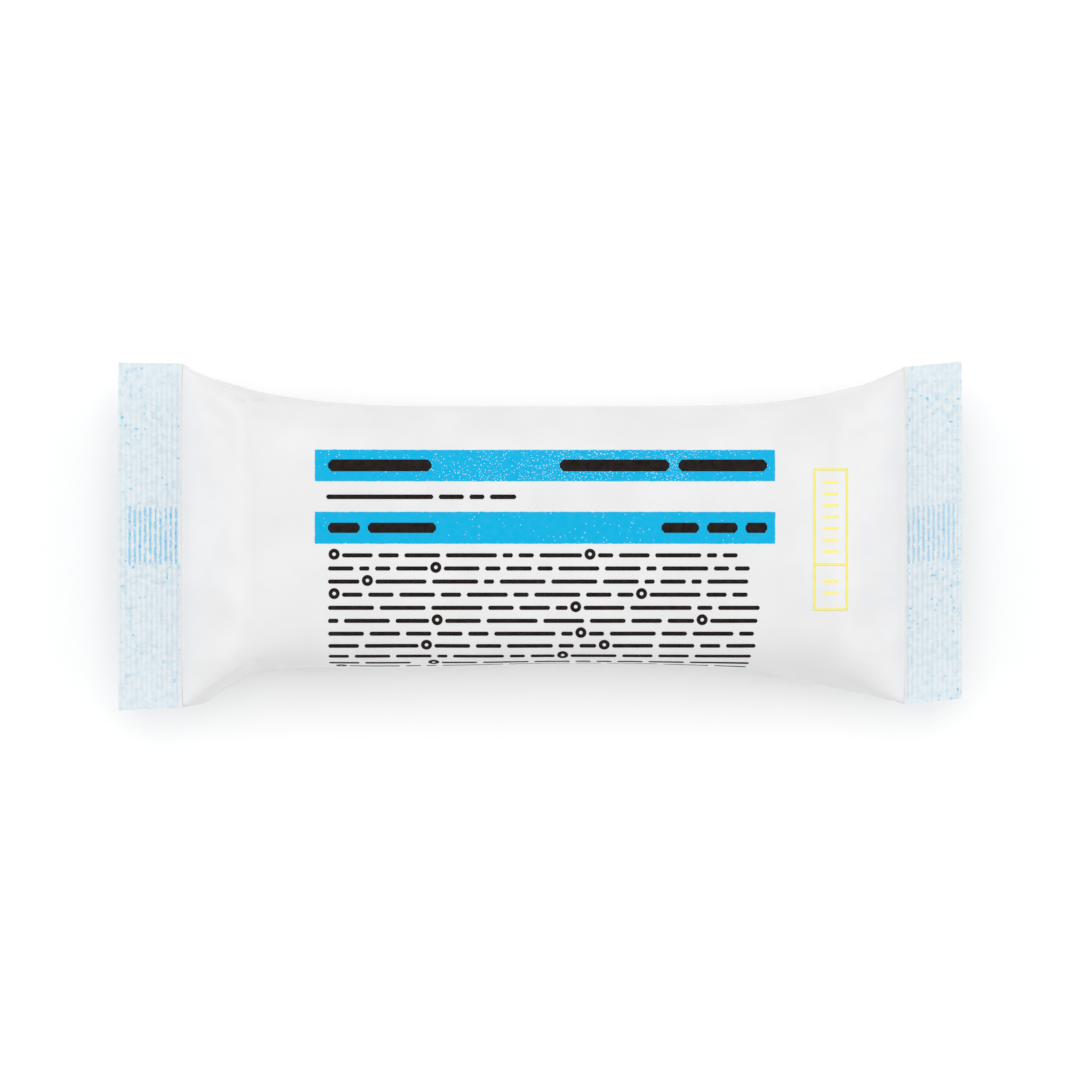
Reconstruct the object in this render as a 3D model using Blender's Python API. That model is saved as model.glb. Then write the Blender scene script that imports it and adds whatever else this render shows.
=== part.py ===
"""A sterile bandage packet, lying on its back with its printed face up.

A tube of white film is crimped flat at both ends and welded along its back, where the seam lies folded flat
in a shallow channel of the film. Inside are a flattened roll of gauze bandage and, on top of the roll, the
wound pad folded in three. Metres, +Z up. X runs along the packet, +Y is its far long side, and the origin is
under its middle, on the surface that it lies on.
"""

import math
from collections import namedtuple

import bmesh
import bpy

# The film, and the clearance that neighbouring pieces keep
FILM = 0.0004
GAP = 0.0003

# The filled body
BODY_WIDTH = 0.0454  # across its narrowest part
BODY_THICKNESS = 0.0234  # over the seam
BODY_SQUARENESS = 3.2  # 2 is an ellipse, and more is squarer
BED_SAG = 0.08  # share of the lower half that the surface below presses flat
LEFT_NECK_LENGTH = 0.0136  # from the seal line to the roll's end
RIGHT_NECK_LENGTH = 0.0148

# The crimped end seals: along X, across at the seal line, and how far the outer edge is shifted and widened
LEFT_SEAL_LENGTH = 0.0114
LEFT_SEAL_WIDTH = 0.0612
LEFT_SEAL_SHIFT = -0.0002
LEFT_SEAL_SPREAD = 0.0007
RIGHT_SEAL_LENGTH = 0.0102
RIGHT_SEAL_WIDTH = 0.0600
RIGHT_SEAL_SHIFT = 0.0010
RIGHT_SEAL_SPREAD = 0.0
CRIMP_PITCH = 0.00098
CRIMP_HEIGHT = 0.0002
CRIMP_MARGIN = 0.0003  # flat film before the first crimp and after the last

# The welded seam along the back, folded flat into its channel
SEAM_WIDTH = 0.0098
CHANNEL_SLOPE = 0.0012  # across the packet, from the channel's roof down to the surface

# The contents
BANDAGE_WIDTH = 0.100  # of the gauze strip, which is the length of its roll
GAUZE_LAYER = 0.0009  # one drawn turn, which stands for several real layers
CORE_TURNS = 3  # turns' worth of height left open in the middle of the roll
ROLL_CROWN = 0.72  # squareness of the roll's upper half, as a share of the body's
ROLL_BED = 0.87  # and of its lower half
PAD_LAYER = 0.0013
PAD_LAYERS = 3
PAD_END_MARGIN = 0.0010  # from the roll's end to the pad's
PAD_SIDE_MARGIN = 0.0062  # from the body's side to the pad's fold

# How finely the shapes are drawn
SIDE_STEPS = 4  # from the side crease to the film's shoulder
FACE_STEPS = 6  # and from there to the middle of the face
CURVE_STEPS = 300
STEPS_PER_ROW = 2
TURN_STEPS = 28
FOLD_STEPS = 4
PAD_STEPS = 10

# What follows from the sizes above
SEAM_THICKNESS = 2 * FILM
SEAL_THICKNESS = 2 * FILM
UNDERSIDE = SEAM_THICKNESS + GAP
SEAL_LEVEL = UNDERSIDE + BODY_THICKNESS / 2
SLOT_HALF = FILM + GAP / 2  # half the tube's height where a seal presses it shut
PACK_LENGTH = LEFT_SEAL_LENGTH + LEFT_NECK_LENGTH + BANDAGE_WIDTH + RIGHT_NECK_LENGTH + RIGHT_SEAL_LENGTH
LEFT_SEAL_LINE = -PACK_LENGTH / 2 + LEFT_SEAL_LENGTH
ROLL_LEFT = LEFT_SEAL_LINE + LEFT_NECK_LENGTH
ROLL_RIGHT = ROLL_LEFT + BANDAGE_WIDTH
RIGHT_SEAL_LINE = ROLL_RIGHT + RIGHT_NECK_LENGTH
ROLL_MIDDLE = (ROLL_LEFT + ROLL_RIGHT) / 2
PAD_STACK = PAD_LAYERS * PAD_LAYER + (PAD_LAYERS - 1) * GAP

# The two ends of the packet. side points outwards along X.
End = namedtuple("End", "name side seal_line roll_end seal_length seal_width shift spread")
LEFT = End(
    name="left",
    side=-1,
    seal_line=LEFT_SEAL_LINE,
    roll_end=ROLL_LEFT,
    seal_length=LEFT_SEAL_LENGTH,
    seal_width=LEFT_SEAL_WIDTH,
    shift=LEFT_SEAL_SHIFT,
    spread=LEFT_SEAL_SPREAD,
)
RIGHT = End(
    name="right",
    side=1,
    seal_line=RIGHT_SEAL_LINE,
    roll_end=ROLL_RIGHT,
    seal_length=RIGHT_SEAL_LENGTH,
    seal_width=RIGHT_SEAL_WIDTH,
    shift=RIGHT_SEAL_SHIFT,
    spread=RIGHT_SEAL_SPREAD,
)

# Each row is one section of the film tube. In a neck, share runs from 0 at the seal line to 1 at the roll's
# end, and in the body from 0 to 1 between the roll's ends. far and near are how much of the seal's extra
# width the side crease still has on that side, and swell is the share of the full thickness. far_square and
# near_square multiply the body's squareness on that side.
Row = namedtuple("Row", "share far near swell far_square near_square")
LEFT_NECK = (
    Row(0.00, 1.00, 1.00, 0.00, 1.70, 1.70),
    Row(0.12, 0.87, 0.96, 0.15, 1.60, 1.50),
    Row(0.27, 0.74, 0.91, 0.34, 1.60, 1.35),
    Row(0.50, 0.61, 0.65, 0.62, 1.65, 1.30),
    Row(0.75, 0.48, 0.42, 0.87, 1.65, 1.30),
    Row(0.91, 0.41, 0.27, 0.97, 1.55, 1.30),
)
BODY = (
    Row(0.00, 0.37, 0.20, 1.00, 1.50, 1.35),
    Row(0.05, 0.25, 0.12, 1.01, 1.40, 1.38),
    Row(0.12, 0.14, 0.11, 1.01, 1.25, 1.40),
    Row(0.22, 0.06, 0.14, 1.02, 1.08, 1.40),
    Row(0.35, 0.04, 0.09, 1.02, 1.00, 1.40),
    Row(0.50, 0.04, 0.01, 1.02, 1.00, 1.40),
    Row(0.65, 0.04, 0.00, 1.02, 1.00, 1.40),
    Row(0.75, 0.05, 0.07, 1.02, 1.00, 1.38),
    Row(0.85, 0.08, 0.17, 1.01, 1.02, 1.32),
    Row(0.93, 0.17, 0.33, 1.01, 1.06, 1.25),
    Row(1.00, 0.32, 0.53, 1.00, 1.12, 1.20),
)
RIGHT_NECK = (
    Row(0.91, 0.36, 0.57, 0.97, 1.16, 1.20),
    Row(0.75, 0.44, 0.64, 0.87, 1.20, 1.20),
    Row(0.50, 0.57, 0.74, 0.62, 1.25, 1.22),
    Row(0.27, 0.75, 0.86, 0.34, 1.35, 1.30),
    Row(0.12, 0.88, 0.93, 0.15, 1.50, 1.50),
    Row(0.00, 1.00, 1.00, 0.00, 1.70, 1.70),
)
CREASE_BEND = 1.7  # 1 is a straight fold from the film's shoulder to its side crease, and more is hollower

# Hollows pressed into the necks, where nothing fills the film. share runs along the neck as above, and
# across is a share of the half width, with the far side positive. reach_x is a share of the neck's length,
# reach_y of the body's width, and depth of its thickness.
Hollow = namedtuple("Hollow", "end share across reach_x reach_y depth")
HOLLOWS = (
    Hollow(LEFT, 0.55, 0.72, 0.37, 0.12, 0.043),
    Hollow(LEFT, 0.50, -0.60, 0.37, 0.15, 0.030),
    Hollow(LEFT, 0.40, 0.10, 0.37, 0.18, 0.021),
    Hollow(RIGHT, 0.50, 0.62, 0.40, 0.15, 0.034),
    Hollow(RIGHT, 0.45, -0.55, 0.40, 0.18, 0.034),
)

# Colour and roughness of each material
FINISHES = {
    "white_film": ((0.86, 0.86, 0.87), 0.45),
    "crimped_film": ((0.72, 0.81, 0.88), 0.50),
    "gauze": ((0.88, 0.86, 0.80), 0.95),
    "wound_dressing": ((0.93, 0.93, 0.91), 0.90),
}

# How a 2D curve's own plane is stood upright: its first axis along X or across the packet
ALONG = (math.pi / 2, 0.0, 0.0)
ACROSS = (math.pi / 2, 0.0, math.pi / 2)


def clear_scene():
    for old in list(bpy.data.objects):
        bpy.data.objects.remove(old, do_unlink=True)


def material(name):
    colour, roughness = FINISHES[name]
    made = bpy.data.materials.new(name)
    made.use_nodes = True
    shader = made.node_tree.nodes["Principled BSDF"]
    shader.inputs["Base Color"].default_value = (*colour, 1.0)
    shader.inputs["Roughness"].default_value = roughness
    shader.inputs["Metallic"].default_value = 0.0
    made.diffuse_color = (*colour, 1.0)
    return made


def neck_x(end, share):
    return end.seal_line + share * (end.roll_end - end.seal_line)


def placed_rows():
    """All rows in order along X, as (x, row)."""
    left = [(neck_x(LEFT, row.share), row) for row in LEFT_NECK]
    body = [(ROLL_LEFT + row.share * BANDAGE_WIDTH, row) for row in BODY]
    right = [(neck_x(RIGHT, row.share), row) for row in RIGHT_NECK]
    return left + body + right


ROWS = placed_rows()


def tangents(values, places):
    """Slopes at each place that let a smooth curve pass without overshooting."""
    steps = [(b - a) / (q - p) for a, b, p, q in zip(values, values[1:], places, places[1:])]
    inner = [2 * a * b / (a + b) if a * b > 0 else 0.0 for a, b in zip(steps, steps[1:])]
    return [steps[0], *inner, steps[-1]]


def film_row(x):
    """The row of the film tube at any x, smooth between the rows of the tables."""
    places = [place for place, _ in ROWS]
    i = max(k for k in range(len(places) - 1) if places[k] <= x)
    width = places[i + 1] - places[i]
    t = (x - places[i]) / width
    fields = []
    for column in zip(*(row for _, row in ROWS)):
        slope = tangents(column, places)
        fields.append(
            column[i] * (1 + 2 * t) * (1 - t) ** 2
            + slope[i] * width * t * (1 - t) ** 2
            + column[i + 1] * t * t * (3 - 2 * t)
            + slope[i + 1] * width * t * t * (t - 1)
        )
    return Row(*fields)


def half_widths(x):
    """How far the side creases reach on the far and the near side at x, and the same for the shoulders."""
    row = film_row(x)
    end = LEFT if x < ROLL_MIDDLE else RIGHT
    extra = (end.seal_width - BODY_WIDTH) / 2
    beyond_roll = max(0.0, (x - end.roll_end) / (end.seal_line - end.roll_end))
    creases = [BODY_WIDTH / 2 + flare * extra for flare in (row.far, row.near)]
    shoulders = [min(BODY_WIDTH / 2 + beyond_roll * extra, crease) for crease in creases]
    return creases, shoulders


def heights(x):
    """How far the film reaches above the seals' level at x, and below it over the seam and beside it."""
    swell = film_row(x).swell
    rise = BODY_THICKNESS / 2 - SLOT_HALF
    over_seam = SLOT_HALF + min(swell, 1.0) * rise
    return SLOT_HALF + swell * rise, over_seam, over_seam + min(swell, 1.0) * UNDERSIDE


def quadrant(crease, shoulder, height, squareness, stop=0.0):
    """Points from the side crease to a place on the face, stop from its middle.

    One of them lies on the shoulder, the last place where the curve climbs more than it runs in.
    """
    curve = []
    for k in range(CURVE_STEPS + 1):
        angle = math.pi / 2 * k / CURVE_STEPS
        level = math.sin(angle) ** (2 / squareness)
        fin = (crease - shoulder) * (1 - level) ** CREASE_BEND
        y = shoulder * max(math.cos(angle), 0.0) ** (2 / squareness) + fin
        curve.append((max(y, stop), height * level))
        if y <= stop:
            break
    run = [0.0]
    turn = 0
    for k, ((y0, z0), (y1, z1)) in enumerate(zip(curve, curve[1:])):
        run.append(run[-1] + math.hypot(y1 - y0, z1 - z0))
        if z1 - z0 > y0 - y1:
            turn = k + 1
    marks = [run[turn] * k / SIDE_STEPS for k in range(SIDE_STEPS)]
    marks += [run[turn] + (run[-1] - run[turn]) * k / FACE_STEPS for k in range(FACE_STEPS)]
    points = []
    k = 0
    for mark in marks:
        while run[k + 1] < mark:
            k += 1
        t = (mark - run[k]) / (run[k + 1] - run[k])
        points.append(tuple(a + t * (b - a) for a, b in zip(curve[k], curve[k + 1])))
    return points + curve[-1:]


def section(creases, shoulders, up, down, squares, floor, channel, roof):
    """A closed section as (y, z) from the far side over the top and back underneath.

    z is from the seals' level. The film lies flat on floor, and within channel of the middle, over the seam,
    it is raised to roof.
    """
    far_up = quadrant(creases[0], shoulders[0], up, squares[0])
    near_up = quadrant(creases[1], shoulders[1], up, squares[1])
    near_down = quadrant(creases[1], shoulders[1], down, squares[1], channel + CHANNEL_SLOPE)
    far_down = quadrant(creases[0], shoulders[0], down, squares[0], channel + CHANNEL_SLOPE)
    ring = far_up
    ring += [(-y, z) for y, z in near_up[-2::-1]]
    ring += [(-y, max(-z, floor)) for y, z in near_down[1:]]
    ring += [(-channel, roof), (channel, roof)]
    ring += [(y, max(-z, floor)) for y, z in far_down[:0:-1]]
    return ring


def hollow_depth(x, y, creases):
    """How far the film's upper face is pressed in at a point."""
    depth = 0.0
    for hollow in HOLLOWS:
        neck_length = abs(hollow.end.roll_end - hollow.end.seal_line)
        centre_y = hollow.across * (creases[0] if hollow.across > 0 else creases[1])
        away_x = (x - neck_x(hollow.end, hollow.share)) / (hollow.reach_x * neck_length)
        away_y = (y - centre_y) / (hollow.reach_y * BODY_WIDTH)
        away = min(math.hypot(away_x, away_y), 1.0)
        depth += hollow.depth * BODY_THICKNESS * (0.5 + 0.5 * math.cos(math.pi * away))
    return depth


def film_ring(x, inset):
    """One section of the film tube at x, moved inwards by inset, as (x, y, z)."""
    row = film_row(x)
    creases, shoulders = half_widths(x)
    up, over_seam, beside_seam = heights(x)
    sag = BED_SAG * min(row.swell, 1.0)
    ring = section(
        creases=[crease - inset for crease in creases],
        shoulders=[shoulder - inset for shoulder in shoulders],
        up=up - inset,
        down=beside_seam * (1 + sag) - inset,
        squares=(row.far_square * BODY_SQUARENESS, row.near_square * BODY_SQUARENESS),
        floor=inset - beside_seam,
        channel=SEAM_WIDTH / 2 + GAP + inset,
        roof=inset - over_seam,
    )
    points = []
    for y, z in ring:
        pressed = hollow_depth(x, y, creases) * max(z, 0.0) / up
        points.append((x, y, SEAL_LEVEL + z - pressed))
    return points


def add_mesh(name, built, finish, collection):
    mesh = bpy.data.meshes.new(name)
    built.to_mesh(mesh)
    built.free()
    mesh.materials.append(finish)
    mesh.shade_smooth()
    mesh.set_sharp_from_angle(angle=math.radians(40))
    collection.objects.link(bpy.data.objects.new(name, mesh))


def make_film_wrapper(collection, finish):
    """The tube of film between the two seal lines, open at both ends, as an outer and an inner skin."""
    places = [place for place, _ in ROWS]
    stations = []
    for a, b in zip(places, places[1:]):
        stations += [a + (b - a) * k / STEPS_PER_ROW for k in range(STEPS_PER_ROW)]
    stations.append(places[-1])

    tube = bmesh.new()
    outer = [[tube.verts.new(point) for point in film_ring(x, 0.0)] for x in stations]
    inner = [[tube.verts.new(point) for point in film_ring(x, FILM)] for x in stations]
    around = len(outer[0])
    for k in range(around):
        n = (k + 1) % around
        for i in range(len(stations) - 1):
            tube.faces.new((outer[i][k], outer[i][n], outer[i + 1][n], outer[i + 1][k]))
            tube.faces.new((inner[i][n], inner[i][k], inner[i + 1][k], inner[i + 1][n]))
        tube.faces.new((outer[0][n], outer[0][k], inner[0][k], inner[0][n]))
        tube.faces.new((outer[-1][k], outer[-1][n], inner[-1][n], inner[-1][k]))
    add_mesh("film_wrapper", tube, finish, collection)


def band_outline(centreline, thickness):
    """The closed outline of a band of one thickness along a line in the plane."""
    one_side, other_side = [], []
    last = len(centreline) - 1
    for i, (u, v) in enumerate(centreline):
        (u0, v0), (u1, v1) = centreline[max(i - 1, 0)], centreline[min(i + 1, last)]
        along = math.hypot(u1 - u0, v1 - v0)
        across_u, across_v = (v0 - v1) / along, (u1 - u0) / along
        one_side.append((u + across_u * thickness / 2, v + across_v * thickness / 2))
        other_side.append((u - across_u * thickness / 2, v - across_v * thickness / 2))
    return one_side + other_side[::-1]


def extruded_band(name, centreline, thickness, width, finish, collection):
    """A band of one thickness along a line in the plane, extruded to both sides of it to its full width."""
    outline = band_outline(centreline, thickness)
    curve = bpy.data.curves.new(name, "CURVE")
    curve.dimensions = "2D"
    curve.fill_mode = "BOTH"
    curve.extrude = width / 2
    spline = curve.splines.new("POLY")
    spline.points.add(len(outline) - 1)
    for point, (u, v) in zip(spline.points, outline):
        point.co = (u, v, 0.0, 1.0)
    spline.use_cyclic_u = True
    curve.materials.append(finish)
    made = bpy.data.objects.new(name, curve)
    collection.objects.link(made)
    return made


def crimp_line(length):
    """The zigzag that the crimping jaws press into a seal, from its seal line outwards."""
    count = max(2, round((length - 2 * CRIMP_MARGIN) / CRIMP_PITCH))
    pitch = (length - 2 * CRIMP_MARGIN) / count
    line = [(0.0, 0.0), (CRIMP_MARGIN / 2, 0.0)]
    for k in range(count):
        start = CRIMP_MARGIN + k * pitch
        line.append((start + pitch / 4, CRIMP_HEIGHT / 2))
        line.append((start + pitch * 3 / 4, -CRIMP_HEIGHT / 2))
    line += [(length - CRIMP_MARGIN / 2, 0.0), (length, 0.0)]
    return line


def make_end_seal(end, collection, finish):
    """One crimped end: two layers of film pressed into ribs, and four where the back seam runs in."""
    length = end.seal_length - GAP
    edge = SEAM_WIDTH / 2
    reach = end.seal_width / 2
    # Each section's place across the seal, and how much film the seam adds under it there
    sections = ((-reach, 0.0), (-edge - GAP, 0.0), (-edge, SEAM_THICKNESS))
    sections += tuple((-y, added) for y, added in reversed(sections))

    band = bmesh.new()
    rings = []
    for y, added in sections:
        upper = [(u, v + SEAL_THICKNESS / 2) for u, v in crimp_line(length)]
        lower = [(u, v - SEAL_THICKNESS / 2 - added) for u, v in crimp_line(length)]
        ring = []
        for u, v in upper + lower[::-1]:
            out = u / length
            x = end.seal_line + end.side * (GAP + u)
            # The outer edge is wider than the seal line and shifted to one side
            spread_y = y * (1 + out * end.spread / end.seal_width) + out * end.shift
            ring.append(band.verts.new((x, spread_y, SEAL_LEVEL + v)))
        rings.append(ring)
    around = len(rings[0])
    for one, other in zip(rings, rings[1:]):
        for k in range(around):
            n = (k + 1) % around
            band.faces.new((one[k], one[n], other[n], other[k]))
    band.faces.new(rings[0])
    band.faces.new(rings[-1])
    bmesh.ops.recalc_face_normals(band, faces=band.faces)
    add_mesh(end.name + "_end_seal", band, finish, collection)


def make_back_seam(collection, finish):
    """The welded fin along the back: two layers of film folded flat, following the film from seal to seal."""
    start, end = LEFT_SEAL_LINE + SEAM_THICKNESS, RIGHT_SEAL_LINE - SEAM_THICKNESS
    places = [start, *(x for x, _ in ROWS if start < x < end), end]
    under = [(x, SEAL_LEVEL - heights(x)[1]) for x in places]
    offset = GAP + SEAM_THICKNESS / 2
    line = []
    for i, (x, z) in enumerate(under):
        (x0, z0), (x1, z1) = under[max(i - 1, 0)], under[min(i + 1, len(under) - 1)]
        along = math.hypot(x1 - x0, z1 - z0)
        line.append((x + (z1 - z0) / along * offset, z - (x1 - x0) / along * offset))
    seam = extruded_band("back_seam", line, SEAM_THICKNESS, SEAM_WIDTH, finish, collection)
    seam.rotation_euler = ALONG


def roll_point(angle, inset):
    """A point of the roll's oval at an angle, inset from its outside, z from the seals' level."""
    room = BODY_THICKNESS - 2 * (FILM + GAP) - PAD_STACK - GAP
    middle = -(PAD_STACK + GAP) / 2
    c, s = math.cos(angle), math.sin(angle)
    power = 2 / (BODY_SQUARENESS * (ROLL_CROWN if s > 0 else ROLL_BED))
    half_width = BODY_WIDTH / 2 - FILM - GAP - inset
    y = half_width * math.copysign(abs(c) ** power, c)
    z = (room / 2 - inset) * math.copysign(abs(s) ** power, s)
    return y, middle + z


def make_bandage_roll(collection, finish):
    """The gauze strip wound into a flattened roll, its turns drawn thicker and fewer than the real ones."""
    pitch = GAUZE_LAYER + GAP
    half_height = roll_point(math.pi / 2, 0.0)[1] - roll_point(0.0, 0.0)[1]
    turns = max(1, int(half_height / pitch) - CORE_TURNS)
    line = []
    for k in range(turns * TURN_STEPS + 1):
        turn = k / TURN_STEPS
        inset = GAUZE_LAYER / 2 + pitch * (turns - turn)
        line.append(roll_point(2 * math.pi * turn, inset))
    roll = extruded_band("bandage_roll", line, GAUZE_LAYER, BANDAGE_WIDTH - GAP, finish, collection)
    roll.rotation_euler = ACROSS
    roll.location = (ROLL_MIDDLE, 0.0, SEAL_LEVEL)


def pad_height(y, depth):
    """The level of a line at one depth under the film's upper inner face, z from the seals' level."""
    share = abs(y) / (BODY_WIDTH / 2 - FILM - GAP)
    up = BODY_THICKNESS / 2 - FILM - GAP
    return up * (1 - share**BODY_SQUARENESS) ** (1 / BODY_SQUARENESS) - depth


def make_wound_pad(collection, finish):
    """The pad folded in three like a letter, lying on the roll under the film."""
    pitch = PAD_LAYER + GAP
    reach = BODY_WIDTH / 2 - PAD_SIDE_MARGIN - pitch / 2 - PAD_LAYER / 2
    line = []
    for layer in range(PAD_LAYERS):
        direction = 1 if layer % 2 == 0 else -1
        depth = PAD_LAYER / 2 + pitch * layer
        for k in range(PAD_STEPS + 1):
            y = direction * reach * (2 * k / PAD_STEPS - 1)
            line.append((y, pad_height(y, depth)))
        if layer < PAD_LAYERS - 1:
            middle = pad_height(reach, depth + pitch / 2)
            for k in range(1, FOLD_STEPS):
                angle = math.pi * k / FOLD_STEPS
                y = direction * (reach + pitch / 2 * math.sin(angle))
                line.append((y, middle + pitch / 2 * math.cos(angle)))
    length = BANDAGE_WIDTH - 2 * PAD_END_MARGIN
    pad = extruded_band("wound_pad", line, PAD_LAYER, length, finish, collection)
    pad.rotation_euler = ACROSS
    pad.location = (ROLL_MIDDLE, 0.0, SEAL_LEVEL)


def main():
    clear_scene()
    packet = bpy.data.collections.new("bandage_packet")
    bpy.context.scene.collection.children.link(packet)
    white_film = material("white_film")
    crimped_film = material("crimped_film")
    make_film_wrapper(packet, white_film)
    make_back_seam(packet, white_film)
    for end in (LEFT, RIGHT):
        make_end_seal(end, packet, crimped_film)
    make_bandage_roll(packet, material("gauze"))
    make_wound_pad(packet, material("wound_dressing"))


main()
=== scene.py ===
"""Dresses a sterile bandage packet: a white film pillow pack with crimped ends and a printed face.

Metres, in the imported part's own frame. X runs along the packet, +Y is its far long side, and it lies on
z = 0.
"""

import math
import random
from collections import namedtuple

import bmesh
import bpy
import numpy as np
from bpy.props import FloatProperty, FloatVectorProperty, IntProperty, PointerProperty
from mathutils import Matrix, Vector


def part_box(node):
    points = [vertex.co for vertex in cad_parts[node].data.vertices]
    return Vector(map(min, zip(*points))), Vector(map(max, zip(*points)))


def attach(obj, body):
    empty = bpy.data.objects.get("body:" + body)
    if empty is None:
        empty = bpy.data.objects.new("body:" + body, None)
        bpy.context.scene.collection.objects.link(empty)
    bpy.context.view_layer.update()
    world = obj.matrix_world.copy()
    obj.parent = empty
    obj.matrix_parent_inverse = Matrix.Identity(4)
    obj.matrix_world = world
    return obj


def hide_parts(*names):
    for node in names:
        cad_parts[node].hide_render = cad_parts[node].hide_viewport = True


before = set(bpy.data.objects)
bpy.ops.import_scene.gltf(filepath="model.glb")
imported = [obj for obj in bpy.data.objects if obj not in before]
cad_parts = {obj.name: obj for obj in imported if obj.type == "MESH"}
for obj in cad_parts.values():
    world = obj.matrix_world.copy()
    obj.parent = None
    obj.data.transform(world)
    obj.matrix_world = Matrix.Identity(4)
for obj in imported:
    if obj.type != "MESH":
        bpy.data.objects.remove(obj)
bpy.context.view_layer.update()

bl_info = {
    "name": "Bandage packet",
    "version": (1, 0, 0),
    "blender": (4, 5, 0),
    "location": "3D View > Sidebar > Packet",
    "description": "Builds a sealed bandage packet: film, crimped ends, print, gauze roll and wound pad",
    "category": "Add Mesh",
}

BODY = "root"

# Places and sizes that the frame gives
FILM_LOW, FILM_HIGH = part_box("film_wrapper")
SEAM_LOW, SEAM_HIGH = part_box("back_seam")
ROLL_LOW, ROLL_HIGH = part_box("bandage_roll")
PAD_LOW, PAD_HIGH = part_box("wound_pad")
LEFT_LOW, LEFT_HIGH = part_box("left_end_seal")
RIGHT_LOW, RIGHT_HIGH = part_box("right_end_seal")

# The packet's own sizes, as in the part's source
FILM = 0.0004
GAP = 0.0003
BODY_WIDTH = 0.0454
BODY_THICKNESS = 0.0234
BODY_SQUARENESS = 3.2
BED_SAG = 0.08
CHANNEL_SLOPE = 0.0012
CREASE_BEND = 1.7
SEAM_WIDTH = SEAM_HIGH.y - SEAM_LOW.y
LAYERS = 2 * FILM
UNDERSIDE = LAYERS + GAP
SEAL_LEVEL = UNDERSIDE + BODY_THICKNESS / 2
SLOT_HALF = FILM + GAP / 2
ROLL_CROWN = 0.72
ROLL_BED = 0.87
PAD_LAYER = 0.0013
PAD_LAYERS = 3
LEFT_SEAL_LINE = FILM_LOW.x
RIGHT_SEAL_LINE = FILM_HIGH.x
ROLL_LEFT = ROLL_LOW.x - GAP / 2
ROLL_RIGHT = ROLL_HIGH.x + GAP / 2
ROLL_LENGTH = ROLL_RIGHT - ROLL_LEFT
ROLL_MIDDLE = (ROLL_LEFT + ROLL_RIGHT) / 2

# seal_length reaches from the seal line to the packet's end, which lies aside by shift and is wider by
# spread. pitch is from rib to rib, first_stripe is how far the first inked rib lies from the seal line, and
# ink is how strongly the ribs are inked.
End = namedtuple(
    "End", "name side seal_line roll_end seal_length seal_width shift spread pitch first_stripe stripes ink"
)
LEFT = End(
    name="left",
    side=-1,
    seal_line=LEFT_SEAL_LINE,
    roll_end=ROLL_LEFT,
    seal_length=LEFT_HIGH.x - LEFT_LOW.x + GAP,
    seal_width=0.0612,
    shift=-0.0002,
    spread=0.0007,
    pitch=0.000914,
    first_stripe=0.00119,
    stripes=10,
    ink=0.85,
)
RIGHT = End(
    name="right",
    side=1,
    seal_line=RIGHT_SEAL_LINE,
    roll_end=ROLL_RIGHT,
    seal_length=RIGHT_HIGH.x - RIGHT_LOW.x + GAP,
    seal_width=0.0600,
    shift=0.0010,
    spread=0.0,
    pitch=0.00089,
    first_stripe=0.00082,
    stripes=10,
    ink=0.60,
)

# One section of the film tube a row. share runs from 0 at a seal line to 1 at the roll's end in a neck, and
# between the roll's ends in the body. far and near are how much of the seal's extra width the side crease
# still has, swell is the share of the full thickness, and the last two multiply the squareness.
Row = namedtuple("Row", "share far near swell far_square near_square")
LEFT_NECK = (
    Row(0.00, 1.00, 1.00, 0.00, 1.70, 1.70),
    Row(0.12, 0.87, 0.96, 0.15, 1.60, 1.50),
    Row(0.27, 0.74, 0.91, 0.34, 1.60, 1.35),
    Row(0.50, 0.61, 0.65, 0.62, 1.65, 1.30),
    Row(0.75, 0.48, 0.42, 0.87, 1.65, 1.30),
    Row(0.91, 0.41, 0.27, 0.97, 1.55, 1.30),
)
BODY_ROWS = (
    Row(0.00, 0.37, 0.20, 1.00, 1.50, 1.35),
    Row(0.05, 0.25, 0.12, 1.01, 1.40, 1.38),
    Row(0.12, 0.14, 0.11, 1.01, 1.25, 1.40),
    Row(0.22, 0.06, 0.14, 1.02, 1.08, 1.40),
    Row(0.35, 0.04, 0.09, 1.02, 1.00, 1.40),
    Row(0.50, 0.04, 0.01, 1.02, 1.00, 1.40),
    Row(0.65, 0.04, 0.00, 1.02, 1.00, 1.40),
    Row(0.75, 0.05, 0.07, 1.02, 1.00, 1.38),
    Row(0.85, 0.08, 0.17, 1.01, 1.02, 1.32),
    Row(0.93, 0.17, 0.33, 1.01, 1.06, 1.25),
    Row(1.00, 0.32, 0.53, 1.00, 1.12, 1.20),
)
RIGHT_NECK = (
    Row(0.91, 0.36, 0.57, 0.97, 1.16, 1.20),
    Row(0.75, 0.44, 0.64, 0.87, 1.20, 1.20),
    Row(0.50, 0.57, 0.74, 0.62, 1.25, 1.22),
    Row(0.27, 0.75, 0.86, 0.34, 1.35, 1.30),
    Row(0.12, 0.88, 0.93, 0.15, 1.50, 1.50),
    Row(0.00, 1.00, 1.00, 0.00, 1.70, 1.70),
)

# Hollows of the film's upper face. share runs along the neck from the seal line, and past 1 into the body.
# across is a share of the half width, far side positive. reach_x is a share of the neck's length, reach_y of
# the body's width, and depth of its thickness.
Hollow = namedtuple("Hollow", "end share across reach_x reach_y depth")
HOLLOWS = (
    Hollow(LEFT, 0.55, 0.72, 0.37, 0.12, 0.043),
    Hollow(LEFT, 0.50, -0.60, 0.37, 0.15, 0.030),
    Hollow(LEFT, 0.40, 0.10, 0.37, 0.18, 0.021),
    Hollow(RIGHT, 0.50, 0.62, 0.40, 0.15, 0.034),
    Hollow(RIGHT, 0.45, -0.55, 0.40, 0.18, 0.034),
)

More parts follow.
